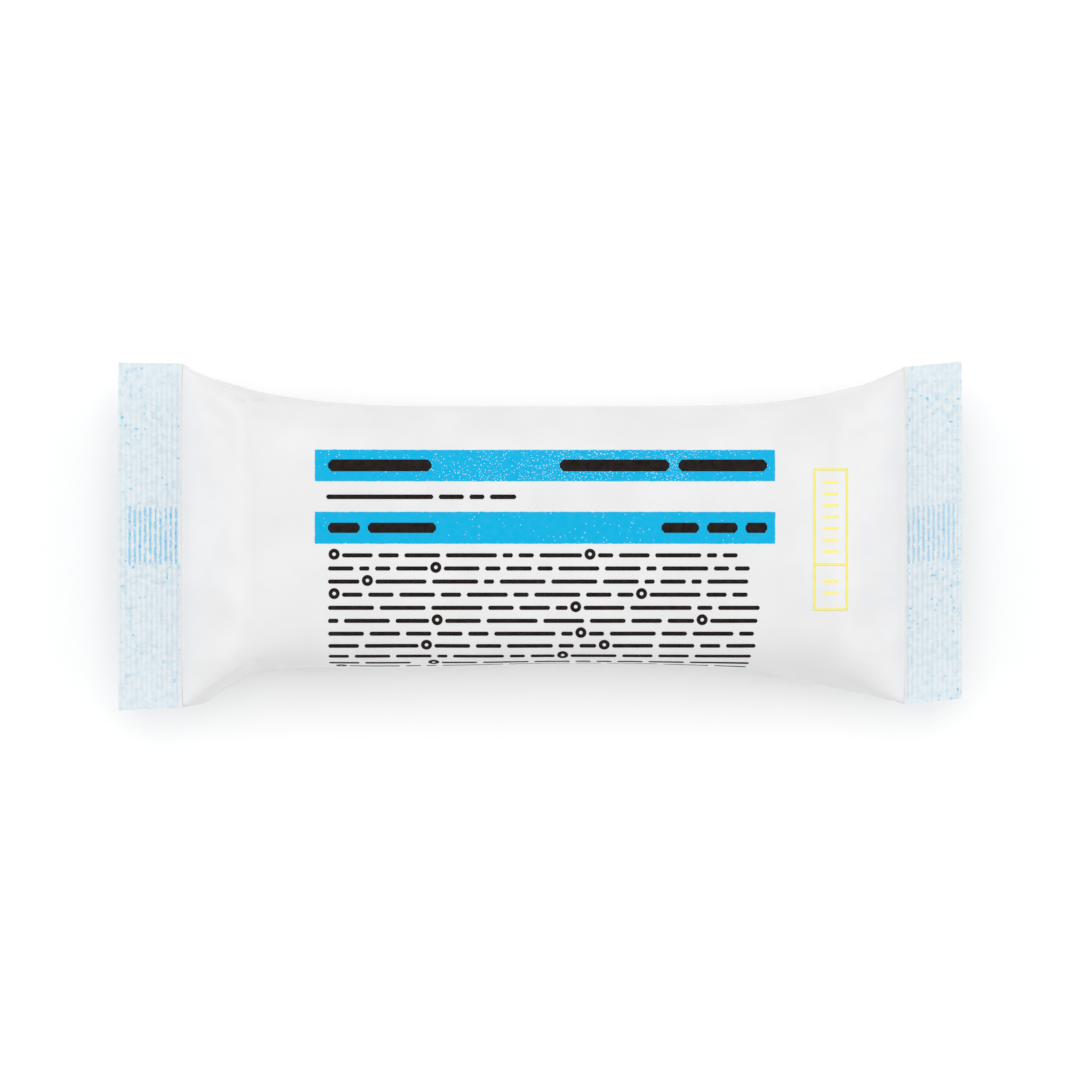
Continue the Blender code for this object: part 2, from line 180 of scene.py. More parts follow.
# Sharp folds of the film's upper face, each straight between two places. A place is a share of the neck from
# the seal line, past 1 in the body, and a share of the seal's half width. The fold stands out by height at
# its first and last place. It falls off over inside towards the packet's middle line, and beyond it the film
# is tucked in by a share of the height over outside.
Fold = namedtuple(
    "Fold", "end from_share from_across to_share to_across from_height to_height inside outside tuck"
)
FOLDS = (
    Fold(LEFT, 0.10, 0.960, 0.90, 0.770, 0.0003, 0.0007, 0.0046, 0.0032, 0.7),
    Fold(LEFT, 0.90, 0.770, 1.90, 0.780, 0.0007, 0.0001, 0.0052, 0.0030, 0.5),
    Fold(RIGHT, 1.40, -0.810, 0.06, -0.963, 0.0001, 0.0004, 0.0040, 0.0020, 0.5),
    Fold(LEFT, 0.20, -0.930, 0.95, -0.720, 0.0002, 0.0003, 0.0040, 0.0020, 0.5),
)

# The lines of small print: how long each is, and where its round marks stand, as shares of the block's width
Line = namedtuple("Line", "length marks")
SMALL_PRINT = (
    Line(0.946, (0.014, 0.605)),
    Line(0.974, (0.249,)),
    Line(0.995, (0.091,)),
    Line(1.000, (0.014, 0.724)),
    Line(0.997, (0.572,)),
    Line(0.992, (0.252, 0.864)),
    Line(0.984, (0.584,)),
    Line(0.988, (0.227, 0.638)),
    Line(0.978, (0.542,)),
    Line(0.974, (0.243,)),
    Line(0.968, (0.028,)),
)

# How finely the film is drawn: points up its side, from there to the middle of its upper face and to the
# channel under it, points on the curve that they are spread over, and the distance from section to section
SIDE_STEPS = 12
UPPER_STEPS = 44
UNDER_STEPS = 16
CURVE_STEPS = 400
FILM_STEP = 0.0005
# How far from a seal the tube reaches its full height
END_TAPER = 0.0012

# How far flat ink reaches out of the film and into it
INK = {"Lift": 0.00003, "Root": 0.00002}


def linear(red, green, blue):
    """A colour as light, from its three screen values of 0 to 255."""
    parts = (value / 255 for value in (red, green, blue))
    return tuple(p / 12.92 if p <= 0.04045 else ((p + 0.055) / 1.055) ** 2.4 for p in parts)


def colour_setting(name, description, red, green, blue):
    """A colour, its default given by three screen values of 0 to 255."""
    default = linear(red, green, blue)
    return FloatVectorProperty(
        name=name, description=description, subtype="COLOR", size=3, min=0, max=1, default=default
    )


def length_setting(name, description, default):
    return FloatProperty(
        name=name, description=description, subtype="DISTANCE", unit="LENGTH", default=default
    )


def share_setting(name, description, default):
    return FloatProperty(name=name, description=description, subtype="FACTOR", min=0, max=1, default=default)


class FilmSettings(bpy.types.PropertyGroup):
    """The film's look, and how it buckles"""

    colour: colour_setting("Film colour", "Colour of the white film", 224, 224, 225)
    roughness: share_setting("Film roughness", "How matt the film is", 0.42)
    gather_height: length_setting("Gather height", "Height of the small pleats beside each seal", 0.00016)
    dent_depth: length_setting("Unevenness", "How far the film follows the uneven contents", 0.00022)
    free_length: length_setting("Free length", "How far from a seal the film is fully free to buckle", 0.006)


class SealSettings(bpy.types.PropertyGroup):
    """The relief and the colours of the crimped ends"""

    rib_height: length_setting("Rib height", "Height of the ribs of a seal", 0.0001)
    spot_pitch: length_setting("Spot pitch", "From spot to pressed spot along the packet", 0.00357)
    spot_row: length_setting("Spot row", "From row to row of pressed spots", 0.00117)
    tint: colour_setting("Tint", "Pale tint of the seals", 217, 226, 230)
    # The darker tint serves the random mottling and also the painted shade in the grooves between the ribs
    shade: colour_setting("Shade", "Darker tint of the seals, in their mottling", 196, 213, 222)
    ink: colour_setting("Ink", "Ink of the seals' specks and stripes", 128, 195, 226)


class PrintSettings(bpy.types.PropertyGroup):
    """The inks and the sizes of the print"""

    bar_colour: colour_setting("Bar colour", "Ink of the two bars", 0, 172, 218)
    text_colour: colour_setting("Dash colour", "Ink of the dashes", 24, 14, 10)
    frame_colour: colour_setting("Frame colour", "Ink of the small frame", 240, 231, 120)
    bar_length: length_setting("Bar length", "Length of both bars", 0.0810)
    bar_height: length_setting("Bar height", "Height of both bars", 0.0056)
    line_pitch: length_setting("Line pitch", "Distance between the lines of small print", 0.00231)
    block_width: length_setting("Block width", "Width of the block of small print", 0.0762)
    seed: IntProperty(name="Word seed", description="Changes the lengths of the dashes", default=7)


class ContentsSettings(bpy.types.PropertyGroup):
    """The colours of the contents, and the pad's pressed lines"""

    gauze_colour: colour_setting("Gauze colour", "Colour of the bandage roll", 236, 231, 219)
    pad_colour: colour_setting("Pad colour", "Colour of the wound pad", 240, 240, 237)
    quilt_pitch: length_setting("Quilt pitch", "From one pressed line of the wound pad to the next", 0.006)
    quilt_depth: share_setting("Quilt depth", "The share of the pad's thickness that is pressed in", 0.14)


def feed(tree, socket, value):
    """Links a socket's value into another socket, or sets it where the value is a plain one."""
    if isinstance(value, bpy.types.NodeSocket):
        tree.links.new(value, socket)
    else:
        socket.default_value = value


def add_node(tree, kind, inputs=None, **settings):
    """A new node with its settings, and its inputs fed by their index or name."""
    node = tree.nodes.new(kind)
    for key, value in settings.items():
        setattr(node, key, value)
    for key, value in (inputs or {}).items():
        feed(tree, node.inputs[key], value)
    return node


def calc(tree, operation, *values):
    """One sum in a tree."""
    return add_node(tree, "ShaderNodeMath", dict(enumerate(values)), operation=operation).outputs[0]


def plus(tree, first, second):
    return calc(tree, "ADD", first, second)


def minus(tree, first, second):
    return calc(tree, "SUBTRACT", first, second)


def times(tree, *values):
    """The product of two or more values."""
    product = values[0]
    for value in values[1:]:
        product = calc(tree, "MULTIPLY", product, value)
    return product


def over(tree, first, second):
    return calc(tree, "DIVIDE", first, second)


def between(tree, value, low, high, to_low=0.0, to_high=1.0):
    """A value taken from one range to another, and held to it."""
    inputs = {"Value": value, "From Min": low, "From Max": high, "To Min": to_low, "To Max": to_high}
    return add_node(tree, "ShaderNodeMapRange", inputs).outputs[0]


def noise(tree, vector, scale, detail=2.0):
    inputs = {"Vector": vector, "Scale": scale, "Detail": detail}
    return add_node(tree, "ShaderNodeTexNoise", inputs).outputs[0]


def mixed(tree, factor, first, second):
    """A colour between two."""
    node = add_node(tree, "ShaderNodeMix", data_type="RGBA")
    feed(tree, node.inputs[0], factor)
    feed(tree, node.inputs[6], first)
    feed(tree, node.inputs[7], second)
    return node.outputs[2]


def rgba(colour):
    return (*colour, 1.0)


def new_material(name, colour, roughness):
    """A material of one colour, its tree, its shader and its object coordinates."""
    made = bpy.data.materials.new(name)
    made.use_nodes = True
    tree = made.node_tree
    shader = tree.nodes["Principled BSDF"]
    shader.inputs["Base Color"].default_value = rgba(colour)
    shader.inputs["Roughness"].default_value = roughness
    place = tree.nodes.new("ShaderNodeTexCoord").outputs["Object"]
    return made, tree, shader, place


def bump(tree, shader, height, strength, distance):
    made = add_node(tree, "ShaderNodeBump", {"Strength": strength, "Distance": distance, "Height": height})
    tree.links.new(made.outputs[0], shader.inputs["Normal"])


def film_material(settings):
    """Satin white film: faintly uneven in tone and sheen, with a fine pebbling."""
    made, tree, shader, place = new_material("white_film", settings.colour, settings.roughness)
    cloud = noise(tree, place, 90.0)
    darker = rgba(value * 0.975 for value in settings.colour)
    lighter = rgba(min(value * 1.02, 1.0) for value in settings.colour)
    feed(tree, shader.inputs["Base Color"], mixed(tree, between(tree, cloud, 0.35, 0.65), darker, lighter))
    sheen = noise(tree, place, 420.0)
    roughness = between(tree, sheen, 0.3, 0.7, settings.roughness - 0.05, settings.roughness + 0.05)
    feed(tree, shader.inputs["Roughness"], roughness)
    bump(tree, shader, noise(tree, place, 1500.0), 0.25, 0.00006)
    return made


def ribs(tree, out, end):
    """The ribs of a crimped end as a wave of -1 to 1 along it, with a crest on each inked rib."""
    turn = times(tree, minus(tree, out, end.first_stripe), 2 * math.pi / end.pitch)
    return calc(tree, "COSINE", turn)


def lattice(tree, out, across, end, settings):
    """Soft oval spots, 1 in their middles, in a slightly turned lattice whose every second row is offset."""
    turned = plus(tree, out, times(tree, across, end.side * 0.049))
    step = over(tree, across, settings.spot_row)
    odd = calc(tree, "FLOORED_MODULO", calc(tree, "FLOOR", step), 2.0)
    along = plus(tree, over(tree, turned, settings.spot_pitch), times(tree, odd, 0.35))
    off_x = times(tree, minus(tree, calc(tree, "FRACT", along), 0.5), settings.spot_pitch)
    off_y = times(tree, minus(tree, calc(tree, "FRACT", step), 0.5), settings.spot_row * 1.4)
    square = plus(tree, calc(tree, "POWER", off_x, 2.0), calc(tree, "POWER", off_y, 2.0))
    return between(tree, calc(tree, "SQRT", square), 0.00016, 0.00044, 1.0, 0.0)


def seal_material(settings, end):
    """Pressed film: mottled tint, bare spots, specks of ink, and ink on the ribs over the back seam."""
    made, tree, shader, place = new_material(end.name + "_crimped_film", settings.tint, 0.5)
    out = add_node(tree, "ShaderNodeAttribute", attribute_name="out").outputs["Fac"]
    across = add_node(tree, "ShaderNodeAttribute", attribute_name="across").outputs["Fac"]
    rib = ribs(tree, out, end)
    cloud = between(tree, noise(tree, place, 900.0, 3.0), 0.42, 0.68)
    patch = between(tree, noise(tree, place, 210.0, 2.0), 0.30, 0.62)
    depth = times(tree, cloud, plus(tree, times(tree, patch, 0.6), 0.4))
    # The tint is a little darker in the grooves between the ribs and lighter on their crests: painted shade
    # of the rib relief
    depth = minus(tree, depth, times(tree, rib, 0.07))
    colour = mixed(tree, depth, rgba(settings.tint), rgba(settings.shade))
    bare = rgba(linear(229, 226, 226))
    spot = lattice(tree, out, across, end, settings)
    worn = between(tree, noise(tree, place, 260.0, 1.0), 0.30, 0.55, 0.2, 0.8)
    colour = mixed(tree, times(tree, spot, worn), colour, bare)
    # Specks of ink, more of them towards the outer edge
    speck = between(tree, noise(tree, place, 1500.0, 0.0), 0.70, 0.78)
    group = between(tree, noise(tree, place, 330.0, 1.0), 0.50, 0.62, 0.0, 0.8)
    outer = between(tree, out, end.seal_length - 0.0034, end.seal_length - 0.0012, 0.15, 0.5)
    group = calc(tree, "MINIMUM", plus(tree, group, outer), 1.0)
    colour = mixed(tree, times(tree, speck, group), colour, rgba(settings.ink))
    # The block of inked ribs
    half_pitch = end.pitch / 2
    after = calc(tree, "GREATER_THAN", out, end.first_stripe - half_pitch)
    before = calc(tree, "LESS_THAN", out, end.first_stripe + end.stripes * end.pitch - half_pitch)
    ragged = times(tree, minus(tree, noise(tree, place, 900.0, 0.0), 0.5), 0.0012)
    side = plus(tree, calc(tree, "ABSOLUTE", across), ragged)
    inside = between(tree, side, SEAM_WIDTH / 2 - 0.0001, SEAM_WIDTH / 2 + 0.0001, 1.0, 0.0)
    block = times(tree, after, before, inside)
    wobble = times(tree, minus(tree, noise(tree, place, 2600.0, 2.0), 0.5), 3.0)
    stripe = between(tree, plus(tree, rib, wobble), 0.0, 0.35)
    gap = between(tree, minus(tree, wobble, rib), 0.55, 0.95, 0.0, 0.7)
    colour = mixed(tree, times(tree, gap, block), colour, bare)
    stretched = add_node(tree, "ShaderNodeVectorMath", {0: place, 1: (1.0, 0.5, 1.0)}, operation="MULTIPLY")
    broken = between(tree, noise(tree, stretched.outputs[0], 1900.0, 1.0), 0.37, 0.46, 0.15, 1.0)
    inked = times(tree, stripe, broken, block, end.ink)
    deep = between(tree, noise(tree, place, 1300.0, 0.0), 0.66, 0.74)
    stripe_ink = mixed(tree, deep, rgba(settings.ink), rgba(linear(40, 176, 226)))
    colour = mixed(tree, inked, colour, stripe_ink)
    # The tint ends in a slightly uneven line at the seal's inner edge
    uneven = times(tree, minus(tree, noise(tree, place, 500.0, 2.0), 0.5), 0.0007)
    start = between(tree, plus(tree, out, uneven), 0.0002, 0.0005)
    film = rgba(bpy.context.scene.packet_film.colour)
    feed(tree, shader.inputs["Base Color"], mixed(tree, start, film, colour))
    relief = minus(tree, noise(tree, place, 2200.0), times(tree, spot, 0.8))
    bump(tree, shader, relief, 0.25, 0.00005)
    return made


def ink_material(name, colour, variation):
    """Matt printing ink, slightly uneven in depth."""
    made, tree, shader, place = new_material(name, colour, 0.6)
    shader.inputs["Specular IOR Level"].default_value = 0.08
    cloud = between(tree, noise(tree, place, 900.0, 3.0), 0.3, 0.7)
    lighter = rgba(value + (1 - value) * variation for value in colour)
    feed(tree, shader.inputs["Base Color"], mixed(tree, cloud, rgba(colour), lighter))
    return made


def weave_material(name, colour, pitch, depth):
    """An open plain weave: two sets of threads that cross, with painted shade in the gaps between them."""
    made, tree, shader, place = new_material(name, colour, 0.95)
    parts = add_node(tree, "ShaderNodeSeparateXYZ", {0: place}).outputs
    turn = 2 * math.pi / pitch
    warp = calc(tree, "SINE", times(tree, parts[0], turn))
    across = plus(tree, parts[1], parts[2])
    weft = calc(tree, "SINE", times(tree, across, turn))
    threads = between(tree, calc(tree, "MAXIMUM", warp, weft), -0.6, 1.0)
    # The gaps between the threads are darker: painted shade in the weave's hollows
    shade = rgba(value * 0.78 for value in colour)
    feed(tree, shader.inputs["Base Color"], mixed(tree, threads, shade, rgba(colour)))
    bump(tree, shader, threads, 0.6, depth)
    return made


def placed_rows():
    """The places along X of all rows, and their other columns as an array."""
    rows = [(LEFT_SEAL_LINE + row.share * (ROLL_LEFT - LEFT_SEAL_LINE), row) for row in LEFT_NECK]
    rows += [(ROLL_LEFT + row.share * ROLL_LENGTH, row) for row in BODY_ROWS]
    rows += [(RIGHT_SEAL_LINE + row.share * (ROLL_RIGHT - RIGHT_SEAL_LINE), row) for row in RIGHT_NECK]
    return np.array([place for place, _ in rows]), np.array([row[1:] for _, row in rows])


def film_columns(x):
    """The rows' columns after share at each x, on smooth curves that don't overshoot the rows."""
    places, columns = placed_rows()
    steps = np.diff(columns, axis=0) / np.diff(places)[:, None]
    product = steps[:-1] * steps[1:]
    total = np.where(product > 0, steps[:-1] + steps[1:], 1.0)
    slopes = np.vstack([steps[:1], np.where(product > 0, 2 * product / total, 0.0), steps[-1:]])
    i = np.clip(np.searchsorted(places, x, side="right") - 1, 0, len(places) - 2)
    width = (places[i + 1] - places[i])[:, None]
    t = (x - places[i])[:, None] / width
    held = columns[i] * (1 + 2 * t) * (1 - t) ** 2 + columns[i + 1] * t * t * (3 - 2 * t)
    return (held + slopes[i] * width * t * (1 - t) ** 2 + slopes[i + 1] * width * t * t * (t - 1)).T


def quadrant(crease, shoulder, height, squareness, face_steps, stop=0.0):
    """Points (y, z) from the side crease over the shoulder to a place on the face, stop from its middle."""
    angle = np.linspace(0, np.pi / 2, CURVE_STEPS + 1)
    level = np.sin(angle) ** (2 / squareness)
    y = shoulder * np.cos(angle).clip(0) ** (2 / squareness)
    y = y + (crease - shoulder) * (1 - level) ** CREASE_BEND
    y[-1] = 0.0
    last = int(np.argmax(y <= stop)) + 1
    y, z = y[:last].clip(stop), height * level[:last]
    along = np.hypot(np.diff(y), np.diff(z))
    run = np.concatenate([[0.0], np.cumsum(along)])
    climbing = np.flatnonzero(np.diff(z[:-1]) > -np.diff(y[:-1]))
    least = run[-1] * SIDE_STEPS / (SIDE_STEPS + face_steps) / 2
    turn = max(run[climbing[-1] + 1], least) if len(climbing) else least
    side = np.linspace(0, turn, SIDE_STEPS, endpoint=False)
    marks = np.concatenate([side, np.linspace(turn, run[-1], face_steps + 1)])
    return np.stack([np.interp(marks, run, y), np.interp(marks, run, z)], axis=1)


def film_ring(x, columns, inset):
    """One section of the film tube at x, moved inwards by inset, from the far crease over the top."""
    far, near, swell, far_square, near_square = columns
    end = LEFT if x < ROLL_MIDDLE else RIGHT
    extra = (end.seal_width - BODY_WIDTH) / 2
    beyond_roll = max(0.0, (x - end.roll_end) / (end.seal_line - end.roll_end))
    creases = [BODY_WIDTH / 2 + flare * extra for flare in (far, near)]
    shoulders = [min(BODY_WIDTH / 2 + beyond_roll * extra, crease) for crease in creases]
    rise = BODY_THICKNESS / 2 - SLOT_HALF
    filled = min(swell, 1.0)
    up = SLOT_HALF + swell * rise - inset
    over_seam = SLOT_HALF + filled * rise
    beside_seam = over_seam + filled * UNDERSIDE
    down = beside_seam * (1 + BED_SAG * filled) - inset
    channel = SEAM_WIDTH / 2 + GAP + inset
    squares = (far_square * BODY_SQUARENESS, near_square * BODY_SQUARENESS)
    far_up, near_up = (
        quadrant(crease - inset, shoulder - inset, up, square, UPPER_STEPS)
        for crease, shoulder, square in zip(creases, shoulders, squares)
    )
    far_down, near_down = (
        quadrant(crease - inset, shoulder - inset, down, square, UNDER_STEPS, channel + CHANNEL_SLOPE)
        for crease, shoulder, square in zip(creases, shoulders, squares)
    )
    roof = inset - over_seam
    under_near = near_down[1:] * (-1, -1)
    under_far = far_down[:0:-1] * (1, -1)
    for under in (under_near, under_far):
        under[:, 1] = np.maximum(under[:, 1], inset - beside_seam)
    over_near = near_up[-2::-1] * (-1, 1)
    ring = np.vstack([far_up, over_near, under_near, [(-channel, roof), (channel, roof)], under_far])
    return np.column_stack([np.full(len(ring), x), ring])


def pressed(x, y, half_width):
    """How far the film's upper face is pressed in, in the hollows of its necks."""
    depth = np.zeros_like(x)
    for hollow in HOLLOWS:
        neck = hollow.end.roll_end - hollow.end.seal_line
        off_x = x - (hollow.end.seal_line + hollow.share * neck)
        off_y = y - hollow.across * half_width
        along, aside = off_x / (hollow.reach_x * abs(neck)), off_y / (hollow.reach_y * BODY_WIDTH)
        away = np.hypot(along, aside).clip(max=1.0)
        depth += hollow.depth * BODY_THICKNESS * (0.5 + 0.5 * np.cos(np.pi * away))
    return depth


def folded(x, y):
    """How far the film's upper face stands out along its sharp folds."""
    crests, tucks = np.zeros_like(x), np.zeros_like(x)
    for fold in FOLDS:
        neck = fold.end.roll_end - fold.end.seal_line
        half = fold.end.seal_width / 2
        start_x, stop_x = (fold.end.seal_line + share * neck for share in (fold.from_share, fold.to_share))
        start_y, stop_y = (across * half for across in (fold.from_across, fold.to_across))
        run_x, run_y = stop_x - start_x, stop_y - start_y
        along = ((x - start_x) * run_x + (y - start_y) * run_y) / (run_x**2 + run_y**2)
        along = along.clip(0, 1)
        away = np.hypot(x - start_x - along * run_x, y - start_y - along * run_y)
        beyond = np.abs(y) > np.abs(start_y + along * run_y)
        height = fold.from_height + (fold.to_height - fold.from_height) * along
        reach = np.where(beyond, fold.outside / 3, fold.inside)
        crests = np.maximum(crests, height * (1 - away / reach).clip(0) ** 1.3)
        dip = np.sin(np.pi * (away / fold.outside).clip(0, 1)) ** 2
        tucks = np.maximum(tucks, np.where(beyond, fold.tuck * height * dip, 0))
    return crests - tucks


def gathers(x, y, half_width):
    """Small pleats that fan out of each seal and die away along the neck, from 1 down to -1."""
    rng = random.Random(11)
    share = y / half_width
    total = np.zeros_like(x)
    for end in (LEFT, RIGHT):
        away = np.abs(x - end.seal_line) / abs(end.roll_end - end.seal_line)
        fade = (away / 0.22) * np.exp(1 - away / 0.22)
        wave = np.zeros_like(x)
        for count, height in ((3.1, 0.45), (5.3, 0.35), (8.7, 0.30), (13.1, 0.18)):
            phase = rng.uniform(0, 2 * math.pi)
            drift = rng.uniform(-1.2, 1.2)
            wave += height * np.sin(math.pi * count * share + phase + drift * away)
        total += fade * wave
    return total


def unevenness(x, y):
    """Broad soft waves where the film follows the folded pad and the roll, from 1 down to -1."""
    rng = random.Random(5)
    total = np.zeros_like(x)
    for length in (0.061, 0.043, 0.031, 0.022, 0.017):
        heading = rng.uniform(-0.9, 0.9)
        phase = rng.uniform(0, 2 * math.pi)
        run = x * math.cos(heading) + y * math.sin(heading)
        total += 0.34 * (length / 0.061) ** 0.6 * np.sin(2 * math.pi * run / length + phase)
    return total


def film_skin(inset, settings):
    """The film's outer or inner skin as an array of sections, each a closed ring of points."""
    count = round((RIGHT_SEAL_LINE - LEFT_SEAL_LINE) / FILM_STEP)
    stations = np.linspace(LEFT_SEAL_LINE, RIGHT_SEAL_LINE, count + 1)
    columns = film_columns(stations)
    skin = np.array([film_ring(x, columns[:, i], inset) for i, x in enumerate(stations)])
    x, y, z = skin[..., 0], skin[..., 1], skin[..., 2]
    half_width = np.abs(y).max(axis=1, keepdims=True)
    upper = np.clip(z / z.max(axis=1, keepdims=True), 0, 1)
    from_seal = np.minimum(x - LEFT_SEAL_LINE, RIGHT_SEAL_LINE - x)
    free = (from_seal / settings.free_length).clip(0, 1)
    lift = settings.gather_height * gathers(x, y, half_width) + settings.dent_depth * free * unevenness(x, y)
    # A fold keeps its height nearly down to the side crease
    lift = upper * (lift - pressed(x, y, half_width)) + (3 * upper).clip(0, 1) * free * folded(x, y)
    # Out of the film's surface, in the plane of the section
    along_y, along_z = np.gradient(y, axis=1), np.gradient(z, axis=1)
    length = np.maximum(np.hypot(along_y, along_z), 1e-9)
    skin[..., 1] += lift * along_z / length
    skin[..., 2] -= lift * along_y / length
    # The tube narrows to the seal's thickness at both ends
    eased = (from_seal / END_TAPER).clip(0, 1)
    eased = eased * eased * (3 - 2 * eased)
    closed = LAYERS / 2 / SLOT_HALF
    skin[..., 2] = SEAL_LEVEL + skin[..., 2] * (closed + (1 - closed) * eased)
    return skin


def store_plan(mesh, skin):
    """Stores a UV map, plan, that lays the outer skin flat in metres.

    U is x, and V runs round the film from the middle of its upper face, far side positive. The faces of the
    inner skin and the rims come later in the mesh and have no place on the plan.
    """
    closed = np.concatenate([skin, skin[:, :1]], axis=1)
    steps = np.linalg.norm(np.diff(closed[:, :, 1:], axis=1), axis=2)
    run = np.concatenate([np.zeros((len(skin), 1)), np.cumsum(steps, axis=1)], axis=1)
    middle = SIDE_STEPS + UPPER_STEPS
    flat = np.stack([closed[..., 0], run[:, middle : middle + 1] - run], axis=-1)
    corners = np.stack([flat[:-1, :-1], flat[:-1, 1:], flat[1:, 1:], flat[1:, :-1]], axis=2)
    uv = np.ones((len(mesh.loops), 2), np.float32)
    uv[: corners.size // 2] = corners.reshape(-1, 2)
    mesh.uv_layers.new(name="plan").data.foreach_set("uv", uv.ravel())


def finish(mesh, name, material, replaced=()):
    """Makes a mesh a named piece of the packet, which stands for the nodes that it replaces."""
    mesh.name = name
    if not mesh.materials:
        mesh.materials.append(material)
    piece = bpy.data.objects.new(name, mesh)
    bpy.context.scene.collection.objects.link(piece)
    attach(piece, BODY)
    if replaced:
        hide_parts(*replaced)
    return piece


def grid_mesh(name, layers, rings):
    """A closed mesh between two layers of points, each an array of rows.

    With rings, each row closes on itself, and only the first and last rows get a rim.
    """
    built = bmesh.new()
    outer, inner = ([[built.verts.new(point) for point in row] for row in layer] for layer in layers)
    rows, columns = len(outer), len(outer[0])
    pairs = [(k, (k + 1) % columns) for k in range(columns if rings else columns - 1)]
    for i in range(rows - 1):
        for k, n in pairs:
            built.faces.new((outer[i][k], outer[i][n], outer[i + 1][n], outer[i + 1][k]))
    for i in range(rows - 1):
        for k, n in pairs:
            built.faces.new((inner[i + 1][k], inner[i + 1][n], inner[i][n], inner[i][k]))
    for k, n in pairs:
        built.faces.new((outer[0][n], outer[0][k], inner[0][k], inner[0][n]))
        built.faces.new((outer[-1][k], outer[-1][n], inner[-1][n], inner[-1][k]))
    if not rings:
        for i in range(rows - 1):
            built.faces.new((outer[i][0], outer[i + 1][0], inner[i + 1][0], inner[i][0]))
            built.faces.new((outer[i + 1][-1], outer[i][-1], inner[i][-1], inner[i + 1][-1]))
    mesh = bpy.data.meshes.new(name)
    built.to_mesh(mesh)
    built.free()
    return mesh


def smooth(mesh, angle):
    mesh.shade_smooth()
    mesh.set_sharp_from_angle(angle=math.radians(angle))


class PACKET_OT_film(bpy.types.Operator):
    """The tube of white film, with the creases, hollows and gathers of its necks"""

    bl_idname = "packet.film"
    bl_label = "Film"

    def execute(self, context):
        settings = context.scene.packet_film
        outer = film_skin(0.0, settings)
        inner = film_skin(FILM, settings)
        mesh = grid_mesh("film", (outer, inner), rings=True)
        store_plan(mesh, outer)
        smooth(mesh, 35)
        finish(mesh, "film", film_material(settings), ["film_wrapper"])
        return {"FINISHED"}


def new_tree(name, inputs):
    """A geometry tree with a geometry input and named inputs, each a length, count or object."""
    tree = bpy.data.node_groups.new(name, "GeometryNodeTree")
    tree.interface.new_socket("Geometry", in_out="INPUT", socket_type="NodeSocketGeometry")
    kinds = {bpy.types.Object: "NodeSocketObject", int: "NodeSocketInt", float: "NodeSocketFloat"}
    for label, value in inputs.items():
        kind = kinds[type(value)]
        socket = tree.interface.new_socket(label, in_out="INPUT", socket_type=kind)
        if kind == "NodeSocketFloat":
            socket.subtype = "DISTANCE"
        if kind != "NodeSocketObject":
            socket.default_value = value
    tree.interface.new_socket("Geometry", in_out="OUTPUT", socket_type="NodeSocketGeometry")
    return tree, tree.nodes.new("NodeGroupInput").outputs


def end_tree(tree, geometry, material):
    """Realizes what a tree has made, gives it its material and sends it out."""
    real = add_node(tree, "GeometryNodeRealizeInstances", {0: geometry}).outputs[0]
    painted = add_node(tree, "GeometryNodeSetMaterial", {0: real, "Material": material}).outputs[0]
    add_node(tree, "NodeGroupOutput", {0: painted})


def grown(tree, values, start=None):
    """The mesh that a tree makes, with its inputs set by their sockets' identifiers."""
    base = bpy.data.objects.new("growing", start or bpy.data.meshes.new("growing"))
    bpy.context.scene.collection.objects.link(base)
    modifier = base.modifiers.new("tree", "NODES")
    modifier.node_group = tree
    for item in tree.interface.items_tree:
        if item.in_out == "INPUT" and item.name in values:
            modifier[item.identifier] = values[item.name]
    ready = base.evaluated_get(bpy.context.evaluated_depsgraph_get())
    mesh = bpy.data.meshes.new_from_object(ready)
    bpy.data.objects.remove(base)
    return mesh


def vector(tree, x, y, z):
    return add_node(tree, "ShaderNodeCombineXYZ", {0: x, 1: y, 2: z}).outputs[0]


def coordinates(tree):
    place = tree.nodes.new("GeometryNodeInputPosition").outputs[0]
    return add_node(tree, "ShaderNodeSeparateXYZ", {0: place}).outputs


def moved(tree, geometry, x, y, z):
    inputs = {0: geometry, "Position": vector(tree, x, y, z)}
    return add_node(tree, "GeometryNodeSetPosition", inputs).outputs[0]


def kept(tree, geometry, name, value):
    """A number stored at each point under a name."""
    inputs = {0: geometry, "Name": name, "Value": value}
    return add_node(tree, "GeometryNodeStoreNamedAttribute", inputs, domain="POINT").outputs[0]


def recalled(tree, name, data_type="FLOAT"):
    return add_node(tree, "GeometryNodeInputNamedAttribute", {"Name": name}, data_type=data_type).outputs[0]


def draped(tree, geometry, film):
    """Lays a flat pattern on the film: x along the packet, y round the film and z out of it."""
    skin = add_node(tree, "GeometryNodeObjectInfo", {"Object": film}).outputs["Geometry"]
    plan = recalled(tree, "plan", "FLOAT_VECTOR")
    x, y, z = coordinates(tree)
    where = vector(tree, x, y, 0.0)
    read = []
    for kind in ("GeometryNodeInputPosition", "GeometryNodeInputNormal"):
        inputs = {0: skin, 1: tree.nodes.new(kind).outputs[0], 2: plan, 3: where}
        sample = add_node(tree, "GeometryNodeSampleUVSurface", inputs, data_type="FLOAT_VECTOR")
        read.append(sample.outputs[0])
    out = add_node(tree, "ShaderNodeVectorMath", {0: read[1], "Scale": z}, operation="SCALE").outputs[0]
    place = add_node(tree, "ShaderNodeVectorMath", {0: read[0], 1: out}, operation="ADD").outputs[0]
    return add_node(tree, "GeometryNodeSetPosition", {0: geometry, "Position": place}).outputs[0]


def print_tree(name, film, inputs):
    """A tree for something printed on the film, its inputs, and the thickness of its ink."""
    tree, given = new_tree(name, {"Film": film} | inputs | INK)
    return tree, given, plus(tree, given["Lift"], given["Root"])


def printed(tree, given, ink, x, y, material):
    """Ends a tree with flat ink at x and y on the film. It reaches out by Lift and in by Root."""
    level = minus(tree, coordinates(tree)[2], times(tree, minus(tree, given["Root"], given["Lift"]), 0.5))
    end_tree(tree, draped(tree, moved(tree, ink, x, y, level), given["Film"]), material)
    return tree


